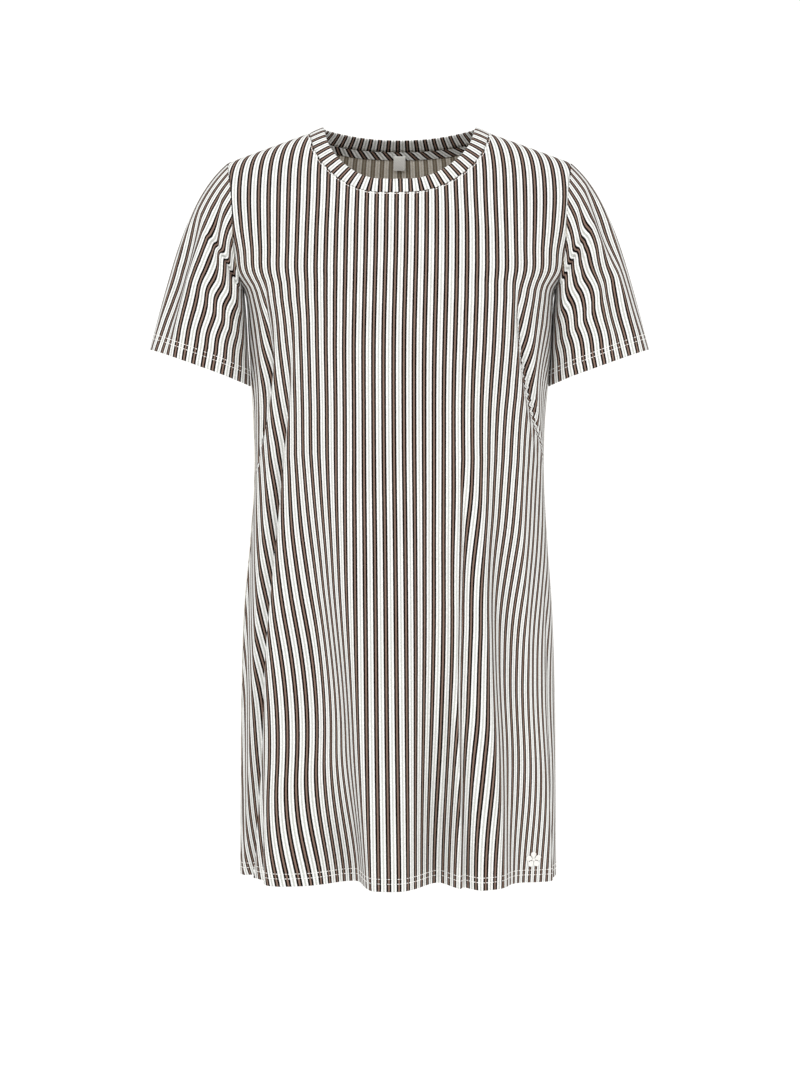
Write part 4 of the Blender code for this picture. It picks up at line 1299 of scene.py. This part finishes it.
def new_sewing_tree(name, sizes):
    """An empty sewing tree with its inputs, and the node that gives them."""
    tree = bpy.data.node_groups.new(name, "GeometryNodeTree")
    tree.is_modifier = True
    tree_input(tree, "Path", "NodeSocketGeometry")
    tree.interface.new_socket(name="Sewing", in_out="OUTPUT", socket_type="NodeSocketGeometry")
    for size, default in sizes:
        tree_input(tree, size, "NodeSocketFloat", default)
    tree_input(tree, "Finish", "NodeSocketMaterial")
    return tree, add_node(tree, "NodeGroupInput")


def finish_tree(tree, shape, source):
    """Ends a tree: real geometry, its material, smooth."""
    real = add_node(tree, "GeometryNodeRealizeInstances", links={"Geometry": shape})
    smooth = add_node(tree, "GeometryNodeSetShadeSmooth", links={"Geometry": real.outputs["Geometry"]})
    dressed = add_node(
        tree,
        "GeometryNodeSetMaterial",
        links={"Geometry": smooth.outputs["Geometry"], "Material": source.outputs["Finish"]},
    )
    add_node(tree, "NodeGroupOutput", links={"Sewing": dressed.outputs["Geometry"]})


@lru_cache(maxsize=None)
def stitch_tree():
    """A row of separate stitches along a path."""
    sizes = (("Pitch", 0.0028), ("Length", 0.0021), ("Thread", 0.0005))
    tree, source = new_sewing_tree("Row of stitches", sizes)
    path = add_node(tree, "GeometryNodeMeshToCurve", links={"Mesh": source.outputs["Path"]})
    spots = add_node(
        tree,
        "GeometryNodeCurveToPoints",
        {"mode": "LENGTH"},
        {"Curve": path.outputs["Curve"], "Length": source.outputs["Pitch"]},
    )
    heading = add_node(
        tree, "FunctionNodeAlignRotationToVector", {"axis": "Z"}, {"Vector": spots.outputs["Tangent"]}
    )
    halved = {"operation": "MULTIPLY", 1: 0.5}
    half = add_node(tree, "ShaderNodeMath", halved, {0: source.outputs["Length"]})
    slim = add_node(tree, "ShaderNodeMath", halved, {0: source.outputs["Thread"]})
    size = add_node(
        tree,
        "ShaderNodeCombineXYZ",
        links={"X": slim.outputs[0], "Y": slim.outputs[0], "Z": half.outputs[0]},
    )
    stitch = add_node(tree, "GeometryNodeMeshUVSphere", {"Segments": 6, "Rings": 6, "Radius": 1.0})
    row = add_node(
        tree,
        "GeometryNodeInstanceOnPoints",
        links={
            "Points": spots.outputs["Points"],
            "Instance": stitch.outputs["Mesh"],
            "Rotation": heading.outputs["Rotation"],
            "Scale": size.outputs["Vector"],
        },
    )
    finish_tree(tree, row.outputs["Instances"], source)
    return tree


@lru_cache(maxsize=None)
def laid_thread_tree():
    """Thread that lies along a path."""
    tree, source = new_sewing_tree("Laid thread", (("Thread", 0.0005),))
    path = add_node(tree, "GeometryNodeMeshToCurve", links={"Mesh": source.outputs["Path"]})
    halved = {"operation": "MULTIPLY", 1: 0.5}
    half = add_node(tree, "ShaderNodeMath", halved, {0: source.outputs["Thread"]})
    section = add_node(
        tree, "GeometryNodeCurvePrimitiveCircle", {"Resolution": 5}, {"Radius": half.outputs[0]}
    )
    tube = add_node(
        tree,
        "GeometryNodeCurveToMesh",
        {"Fill Caps": True},
        {"Curve": path.outputs["Curve"], "Profile Curve": section.outputs["Curve"]},
    )
    finish_tree(tree, tube.outputs["Mesh"], source)
    return tree


def sewn(name, paths, tree, inputs):
    """Runs a sewing tree along open paths and keeps the result as a plain mesh."""
    points, edges = [], []
    for path in paths:
        start = len(points)
        points.extend(tuple(point) for point in path)
        edges.extend((start + i, start + i + 1) for i in range(len(path) - 1))
    mesh = bpy.data.meshes.new(name + "_path")
    mesh.from_pydata(points, edges, [])
    made = link(bpy.data.objects.new(name + "_path", mesh))
    modifier = made.modifiers.new("Sewing", "NODES")
    modifier.node_group = tree
    sockets = {item.name: item.identifier for item in tree.interface.items_tree if item.in_out == "INPUT"}
    for key, value in inputs.items():
        modifier[sockets[key]] = value
    bpy.context.view_layer.update()
    evaluated = made.evaluated_get(bpy.context.evaluated_depsgraph_get())
    plain = bpy.data.meshes.new_from_object(evaluated)
    made.modifiers.remove(modifier)
    bpy.data.objects.remove(made)
    plain.name = name
    result = link(bpy.data.objects.new(name, plain))
    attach(result, "root")
    return result


def stitch_row(name, paths, sewing):
    inputs = {
        "Pitch": sewing.stitch_pitch,
        "Length": sewing.stitch_length,
        "Thread": sewing.thread,
        "Finish": material_for("thread"),
    }
    return sewn(name, paths, stitch_tree(), inputs)


def laid_thread(name, paths, sewing, thickness=1.0):
    inputs = {"Thread": sewing.thread * thickness, "Finish": material_for("thread")}
    return sewn(name, paths, laid_thread_tree(), inputs)


# Sizes and colours that a user may change

def plain_float(name, description, default, unit="NONE"):
    return bpy.props.FloatProperty(name=name, description=description, default=default, unit=unit)


def metres(name, description, default):
    return plain_float(name, description, default, "LENGTH")


def watts(name, description, default):
    return plain_float(name, description, default, "POWER")


def tint(name, description, code):
    return bpy.props.FloatVectorProperty(
        name=name, description=description, default=linear(code), subtype="COLOR"
    )


class NIGHTSHIRT_PG_jersey(bpy.types.PropertyGroup):
    """The striped jersey: its stripes, its loops and its colours"""

    repeat: metres("Stripe repeat", "Width of one repeat of the stripes", 0.0112)
    taupe_share: plain_float("Taupe", "Share of half a repeat up to the dark edge", 0.15)
    edge_share: plain_float("Dark edge", "Share of half a repeat where the dark edge ends", 0.51)
    line_share: plain_float("Pale line", "Share of half a repeat where the pale grey line starts", 0.82)
    yarn_unevenness: metres("Yarn unevenness", "Length over which a stripe's edge wanders", 0.004)
    stripe_wander: metres("Edge wander", "How far a stripe's edge wanders", 0.0004)
    speck_size: metres("Specks", "Size of the lighter and darker loops", 0.0016)
    loop_width: metres("Loop width", "Width of a knitted loop", 0.0009)
    loop_height: metres("Loop height", "Height of a knitted loop", 0.0007)
    loop_depth: metres("Loop depth", "Relief of a knitted loop", 0.0004)
    thickness: metres("Thickness", "Thickness of the jersey", 0.0006)
    tape_lean: plain_float("Bias", "Slant of the stripes on the neck tape, in degrees", -40.0)
    taupe: tint("Taupe", "Middle of a dark stripe", "8a7266")
    edge: tint("Dark edge", "Edges of a dark stripe", "0f0907")
    white: tint("White", "Ground between the stripes", "fdfcfa")
    line: tint("Pale line", "Thin line in the white", "c9cbc6")
    wrong_taupe: tint("Wrong side taupe", "Dark stripe from inside", "b3a896")
    wrong_edge: tint("Wrong side edge", "Stripe edge from inside", "8d8170")
    wrong_white: tint("Wrong side white", "Ground from inside", "f7f1e6")
    wrong_line: tint("Wrong side line", "Pale line from inside", "e2dacb")


class NIGHTSHIRT_PG_sewing(bpy.types.PropertyGroup):
    """Seams, hems and stitches"""

    seam_radius: metres("Seam roll", "Radius of a panel's edge where it turns into a seam", 0.0008)
    seam_lip: metres("Seam lip", "How far a panel's edge runs on inside the seam", 0.0008)
    hem_radius: metres("Hem fold", "Radius of the fold at the hem and cuffs", 0.0007)
    hem_width: metres("Hem", "Width of the turned-up hem", 0.0155)
    hem_low_row: metres("Lower hem stitches", "Height of the lower stitch row above the hem", 0.0088)
    hem_high_row: metres("Upper hem stitches", "Height of the upper stitch row above the hem", 0.0140)
    cuff_width: metres("Cuff", "Width of the turned-up cuff", 0.0195)
    cuff_low_row: metres("Lower cuff stitches", "Distance of the lower stitch row from the cuff", 0.0130)
    cuff_high_row: metres("Upper cuff stitches", "Distance of the upper stitch row from the cuff", 0.0180)
    flower_size: metres("Flower", "Width of the embroidered flower", 0.0175)
    neck_row: metres("Neck stitches", "Distance of the topstitching from the neck seam", 0.0022)
    stitch_pitch: metres("Stitch pitch", "Distance from one stitch to the next", 0.0036)
    stitch_length: metres("Stitch length", "Length of the thread that shows", 0.0027)
    thread: metres("Thread", "Thickness of the sewing thread", 0.0009)
    thread_colour: tint("Thread colour", "Colour of the sewing thread", "fbf9f5")


class NIGHTSHIRT_PG_stage(bpy.types.PropertyGroup):
    """Floor, lights and camera"""

    floor_z: metres("Floor", "Height of the floor", -1.30)
    camera_distance: metres("Camera distance", "Distance from the camera to the origin", 2.4)
    camera_x: metres("Camera side", "How far right of the middle the camera stands", 0.0006)
    camera_height: metres("Camera height", "Height of the camera", -0.4675)
    view_height: metres("View height", "Height of the picture at the origin", 1.227)
    key_power: watts("Key light", "Power of the key light in watts", 39.0)
    fill_power: watts("Fill light", "Power of the fill light in watts", 29.0)
    top_power: watts("Top light", "Power of the overhead light in watts", 20.0)
    sky: plain_float("Surround", "Strength of the even light from all round", 0.74)
    paper_glow: plain_float("Paper glow", "Strength of the light that the paper gives off", 0.16)


# Pieces

def body_sheet(side, columns=slice(None)):
    """The outer face of the front or back, or some of its columns."""
    made = body()
    grids = [grid[:, columns] for grid in (made.outer[side], made.normal[side], made.cut[side])]
    return Sheet(*grids, np.ones(grids[0].shape[:2]))


def panel_sheet(side, sewing):
    """The front or back with its hem turned up and its other edges turned into their seams."""
    seam = (sewing.seam_radius, SEAM_TURN_DEG, sewing.seam_lip)
    sheet = with_turned_edge(body_sheet(side), *seam)
    sheet = with_turned_up_hem(reversed_rows(sheet), sewing.hem_radius, sewing.hem_width, HEM_ROWS)
    sheet = swapped(reversed_rows(sheet))
    for _ in range(2):
        sheet = reversed_rows(with_turned_edge(sheet, *seam))
    sheet = swapped(sheet)
    return reversed_columns(sheet) if side > 0 else sheet


class NIGHTSHIRT_OT_body(bpy.types.Operator):
    """Makes the front and the back"""

    bl_idname = "nightshirt.body"
    bl_label = "Front and Back"

    def execute(self, context):
        sewing = context.scene.nightshirt_sewing
        look = context.scene.nightshirt_jersey
        for side, name, node, flat, area in (
            (-1, "front_panel", "front", (0.584, 0.917), 0.396),
            (1, "back_panel", "back", (0.591, 0.931), 0.413),
        ):
            sheet = panel_sheet(side, sewing)
            made = grid_object(name, sheet, False, two_sided("jersey"))
            add_thickness(made, look.thickness)
            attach(made, "root")
            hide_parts(node)
        return {"FINISHED"}


@lru_cache(maxsize=None)
def sleeve_sheet(hand):
    """A sleeve's outer face, rows from the armhole to the cuff."""
    ring = body().armholes[hand]
    folds = LEFT_SLEEVE_FOLDS if hand < 0 else RIGHT_SLEEVE_FOLDS
    pinches = LEFT_PINCHES if hand < 0 else RIGHT_PINCHES
    points = sleeve_outer(ring, hand, folds, pinches)
    normals = grid_normals(points, ring=True) * -hand
    normals[0] = armhole_normals(ring)
    cut = sleeve_cut(points, ARMHOLE_ROWS + EDGE_ROWS - 1, pinches)
    sheet = Sheet(points, normals, cut, np.ones(points.shape[:2]))
    return reversed_columns(sheet) if hand > 0 else sheet


class NIGHTSHIRT_OT_sleeves(bpy.types.Operator):
    """Makes both sleeves"""

    bl_idname = "nightshirt.sleeves"
    bl_label = "Sleeves"

    def execute(self, context):
        sewing = context.scene.nightshirt_sewing
        look = context.scene.nightshirt_jersey
        for hand, side in ((-1, "left"), (1, "right")):
            sheet = reversed_rows(sleeve_sheet(hand))
            sheet = with_turned_edge(sheet, sewing.seam_radius, SEAM_TURN_DEG, sewing.seam_lip, ring=True)
            sheet = reversed_rows(sheet)
            sheet = with_turned_up_hem(sheet, sewing.hem_radius, sewing.cuff_width, CUFF_ROWS, ring=True)
            made = grid_object(f"sleeve_{side}_cloth", sheet, True, two_sided("jersey"))
            add_thickness(made, look.thickness)
            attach(made, "root")
            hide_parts(f"sleeve_{side}")
        return {"FINISHED"}


def strip_sheet(points, along, section):
    """A strip's sheet: its cut runs along it, and on over the points of its section."""
    cut = np.stack(np.meshgrid(along, way_along(np.array(section))), axis=-1)
    return Sheet(points, grid_normals(points), cut, np.ones(points.shape[:2]))


def band_sheet():
    """The neckband folded double, rows from its outer seam edge over the fold to its inner one."""
    made = body()
    middle = made.neck + made.lean * BAND_WIDTH / 2
    along = way_along(np.concatenate([middle, middle[:1]]))
    rings = (made.neck, made.lean, made.neck_normal)
    neck, lean, normal = (np.concatenate([grid, grid[:1]]) for grid in rings)
    section = [(HALF_GAP + share * (BAND_WIDTH - HALF_GAP), depth) for share, depth in BAND_SECTION]
    points = np.array([neck + lean * height - normal * depth for height, depth in section])
    return strip_sheet(points, along, section)


class NIGHTSHIRT_OT_neckband(bpy.types.Operator):
    """Makes the neckband"""

    bl_idname = "nightshirt.neckband"
    bl_label = "Neckband"

    def execute(self, context):
        look = context.scene.nightshirt_jersey
        sheet = band_sheet()
        made = grid_object("neckband_cloth", sheet, False, two_sided("band"))
        add_thickness(made, look.thickness)
        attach(made, "root")
        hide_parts("neckband")
        return {"FINISHED"}


def under_back(depth):
    """The back's neck edge from inside, a depth under its outer face, rows from below up."""
    made = body()
    neck = slice(SHOULDER_COLUMNS + TAPE_INSET, -SHOULDER_COLUMNS - TAPE_INSET)
    rows = slice(-EDGE_ROWS - 1, None)
    return made.outer[1][rows, neck] - made.normal[1][rows, neck] * depth, made.normal[1][rows, neck]


class NIGHTSHIRT_OT_neck_inside(bpy.types.Operator):
    """Makes the tape and the tab inside the back neck"""

    bl_idname = "nightshirt.neck_inside"
    bl_label = "Neck Tape and Tab"

    def execute(self, context):
        look = context.scene.nightshirt_jersey
        points, normals = under_back(TAPE_DEPTH)
        along = way_along(points[-1])
        across = np.linspace(0.0, TAPE_WIDTH, len(points))
        cut = np.stack(np.meshgrid(along, across), axis=-1)
        sheet = Sheet(points, -normals, cut, np.ones(points.shape[:2]))
        for _ in range(2):
            sheet = reversed_rows(with_turned_edge(sheet, TAPE_EDGE_RADIUS, TAPE_TURN_DEG))
        tape = grid_object("neck_tape_cloth", sheet, False, two_sided("tape"))
        add_thickness(tape, look.thickness)
        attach(tape, "root")
        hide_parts("neck_tape")
        self.make_tab()
        return {"FINISHED"}

    def make_tab(self):
        """A ribbon folded in half, its fold at the bottom."""
        points, _ = under_back(TAB_DEPTH)
        centre = points.shape[1] // 2
        start = points[-1, centre] + unit(points[0, centre] - points[-1, centre]) * TAB_BELOW_SEAM
        down = unit(TAB_HANG)
        through = np.cross(down, SIDEWAYS)
        near = [(TAB_LENGTH * share, 0.0) for share in np.linspace(0.0, 1.0, 12)]
        turns = [
            (TAB_LENGTH + TAB_FOLD_RADIUS * math.sin(turn), TAB_FOLD_RADIUS * (1 - math.cos(turn)))
            for turn in np.linspace(0.0, math.pi, 7)[1:-1]
        ]
        far = [(length, 2 * TAB_FOLD_RADIUS) for length, _ in near[::-1]]
        section = near + turns + far
        x = np.linspace(-TAB_WIDTH / 2, TAB_WIDTH / 2, 13)
        rows = []
        for length, depth in section:
            curl = TAB_CURL * (length / TAB_LENGTH) ** 2
            rows.append(start + down * length + through * (depth - curl) + SIDEWAYS * x[:, None])
        sheet = strip_sheet(np.array(rows), x, section)
        points = sheet.points[::-1]
        sheet = Sheet(points, grid_normals(points), sheet.cut[::-1], sheet.turn)
        tab = grid_object("neck_tab_ribbon", sheet, False, (material_for("tab"),))
        add_thickness(tab, TAB_RIBBON)
        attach(tab, "root")
        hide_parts("neck_tab")


def lifted(sheet, distance, lift):
    points, normals, _ = at_distance(sheet, distance)
    return points + normals * lift


def zigzag(sheet, low, high, depth, pitch):
    """A path that crosses between two distances, on the inside of a turned-up hem."""
    first, second = lifted(sheet, low, -depth), lifted(sheet, high, -depth)
    travelled = way_along(first)
    count = int(travelled[-1] / pitch)
    places = np.linspace(0.0, travelled[-1], 2 * count + 1)
    path = []
    for number, at in enumerate(places):
        line = first if number % 2 else second
        path.append(read_along(travelled, line, at))
    return path


class NIGHTSHIRT_OT_stitching(bpy.types.Operator):
    """Sews the hem, the cuffs and the neck"""

    bl_idname = "nightshirt.stitching"
    bl_label = "Stitching"

    def execute(self, context):
        sewing = context.scene.nightshirt_sewing
        lift = sewing.thread * STITCH_LIFT
        hem = [reversed_rows(body_sheet(side)) for side in (-1, 1)]
        inside = 2 * sewing.hem_radius + sewing.thread * COVER_LIFT
        heights = (sewing.hem_low_row, sewing.hem_high_row)
        rows = [lifted(sheet, at, lift) for sheet in hem for at in heights]
        stitch_row("hem_stitches", rows, sewing)
        paths = [zigzag(sheet, *heights, inside, COVER_PITCH) for sheet in hem]
        laid_thread("hem_cover_thread", paths, sewing, COVER_THICKNESS)
        distances = (sewing.cuff_low_row, sewing.cuff_high_row)
        for hand, side in ((-1, "left"), (1, "right")):
            sheet = self.closed(sleeve_sheet(hand))
            rows = [lifted(sheet, at, lift) for at in distances]
            stitch_row(f"cuff_{side}_stitches", rows, sewing)
            path = zigzag(sheet, *distances, inside, COVER_PITCH)
            laid_thread(f"cuff_{side}_cover_thread", [path], sewing, COVER_THICKNESS)
        neck = slice(SHOULDER_COLUMNS, -SHOULDER_COLUMNS)
        rows = [lifted(body_sheet(side, neck), sewing.neck_row, lift) for side in (-1, 1)]
        stitch_row("neck_stitches", rows, sewing)
        return {"FINISHED"}

    def closed(self, sheet):
        """A ring's first column again at its end, so that a path along it closes."""
        return Sheet(*(np.concatenate([grid, grid[:, :1]], axis=1) for grid in sheet))


class NIGHTSHIRT_OT_flower(bpy.types.Operator):
    """Embroiders a small plain flower above the hem"""

    bl_idname = "nightshirt.flower"
    bl_label = "Flower"

    def execute(self, context):
        sewing = context.scene.nightshirt_sewing
        panel = bpy.data.objects["front_panel"]
        ground = BVHTree.FromObject(panel, context.evaluated_depsgraph_get())
        paths = []
        for number in range(PETALS):
            turn = math.radians(90 + 360 / PETALS * number)
            heading = np.array((math.cos(turn), math.sin(turn)))
            across = np.array((-heading[1], heading[0]))
            for share in PETAL_STITCHES:
                out = FLOWER_EYE + share * (sewing.flower_size / 2 - FLOWER_EYE)
                half = PETAL_HALF_WIDTH * math.sin(math.pi * share ** 1.3) ** 0.6
                paths.append(self.laid(ground, heading * out, across * half, sewing.thread))
        for turn in np.radians(np.arange(0, 180, 30)):
            heading = np.array((math.cos(turn), math.sin(turn)))
            paths.append(self.laid(ground, np.zeros(2), heading * FLOWER_EYE, sewing.thread * 2))
        laid_thread("hem_flower", paths, sewing, FLOWER_THREAD)
        return {"FINISHED"}

    def laid(self, ground, middle, reach, height):
        """One satin stitch, rounded up off the cloth between its two ends."""
        path = []
        for share in SATIN_POINTS:
            x, z = FLOWER_CENTRE + middle + reach * share
            hit, normal, _, _ = ground.ray_cast((x, -1.0, z), (0.0, 1.0, 0.0))
            lift = height * math.sqrt(1 - (share * SATIN_ROUNDING) ** 2)
            path.append(np.array(hit) + np.array(normal) * lift)
        return path


class NIGHTSHIRT_OT_stage(bpy.types.Operator):
    """Makes the floor, the lights and the camera"""

    bl_idname = "nightshirt.stage"
    bl_label = "Stage"

    def execute(self, context):
        stage = context.scene.nightshirt_stage
        self.make_floor(stage)
        self.make_lights(stage)
        self.make_camera(stage)
        return {"FINISHED"}

    def make_floor(self, stage):
        """A floor that curves up into a backdrop."""
        front, back, top, half_width, radius = -9.0, 4.2, 6.0, 7.0, 1.6
        start = back - radius
        profile = [(front, stage.floor_z), (start, stage.floor_z)]
        for turn in np.linspace(0.0, math.pi / 2, 17)[1:]:
            risen = radius * (1 - math.cos(turn))
            profile.append((start + radius * math.sin(turn), stage.floor_z + risen))
        profile.append((back, top))
        points = np.array([[(x, y, z) for x in (-half_width, half_width)] for y, z in profile])
        mesh = bpy.data.meshes.new("floor")
        count = len(profile)
        faces = [(2 * i, 2 * i + 1, 2 * i + 3, 2 * i + 2) for i in range(count - 1)]
        mesh.from_pydata(points.reshape(-1, 3).tolist(), [], faces)
        mesh.shade_smooth()
        mesh.materials.append(material_for("paper"))
        link(bpy.data.objects.new("floor", mesh))

    def make_lights(self, stage):
        """Large soft lights from both front sides and from above."""
        for name, power, size, place_at, aim in (
            ("Key", stage.key_power, 2.2, (-1.9, -2.7, 1.1), (0.0, 0.0, -0.40)),
            ("Fill", stage.fill_power, 2.6, (2.3, -2.6, 0.4), (0.0, 0.0, -0.45)),
            ("Top", stage.top_power, 2.4, (0.0, -0.4, 2.4), (0.0, 0.0, -0.40)),
        ):
            light = bpy.data.lights.new(name, "AREA")
            light.energy = power
            light.shape = "SQUARE"
            light.size = size
            made = link(bpy.data.objects.new(name, light))
            made.location = place_at
            heading = np.array(aim) - np.array(place_at)
            flat = math.hypot(heading[0], heading[1])
            made.rotation_euler = (
                math.atan2(flat, -heading[2]),
                0.0,
                math.atan2(heading[1], heading[0]) - math.pi / 2,
            )
        world = bpy.data.worlds.new("Even light")
        world.use_nodes = True
        background = world.node_tree.nodes["Background"]
        background.inputs["Color"].default_value = (1.0, 1.0, 1.0, 1.0)
        background.inputs["Strength"].default_value = stage.sky
        bpy.context.scene.world = world
        bpy.context.scene.view_settings.view_transform = "Standard"

    def make_camera(self, stage):
        """A camera level with the garment's middle, at the photograph's angle."""
        data = bpy.data.cameras.new("Camera")
        data.lens = data.sensor_width * stage.camera_distance / stage.view_height
        made = link(bpy.data.objects.new("Camera", data))
        made.location = (stage.camera_x, -stage.camera_distance, stage.camera_height)
        made.rotation_euler = (math.pi / 2, 0.0, 0.0)
        bpy.context.scene.camera = made


class NIGHTSHIRT_PT_pieces(bpy.types.Panel):
    """Lists the pieces of the nightshirt"""

    bl_label = "Nightshirt"
    bl_idname = "NIGHTSHIRT_PT_pieces"
    bl_space_type = "VIEW_3D"
    bl_region_type = "UI"
    bl_category = "Nightshirt"

    def draw(self, context):
        layout = self.layout
        for step in STEPS:
            layout.operator(step.bl_idname)


STEPS = (
    NIGHTSHIRT_OT_body,
    NIGHTSHIRT_OT_sleeves,
    NIGHTSHIRT_OT_neckband,
    NIGHTSHIRT_OT_neck_inside,
    NIGHTSHIRT_OT_stitching,
    NIGHTSHIRT_OT_flower,
    NIGHTSHIRT_OT_stage,
)
GROUPS = {
    "nightshirt_jersey": NIGHTSHIRT_PG_jersey,
    "nightshirt_sewing": NIGHTSHIRT_PG_sewing,
    "nightshirt_stage": NIGHTSHIRT_PG_stage,
}


def register():
    for group in GROUPS.values():
        bpy.utils.register_class(group)
    for name, group in GROUPS.items():
        setattr(bpy.types.Scene, name, bpy.props.PointerProperty(type=group))
    for step in STEPS:
        bpy.utils.register_class(step)
    bpy.utils.register_class(NIGHTSHIRT_PT_pieces)


def unregister():
    bpy.utils.unregister_class(NIGHTSHIRT_PT_pieces)
    for step in reversed(STEPS):
        bpy.utils.unregister_class(step)
    for name, group in GROUPS.items():
        delattr(bpy.types.Scene, name)
        bpy.utils.unregister_class(group)


def main():
    register()
    for step in STEPS:
        group, name = step.bl_idname.split(".")
        getattr(getattr(bpy.ops, group), name)()


if __name__ == "__main__":
    main()
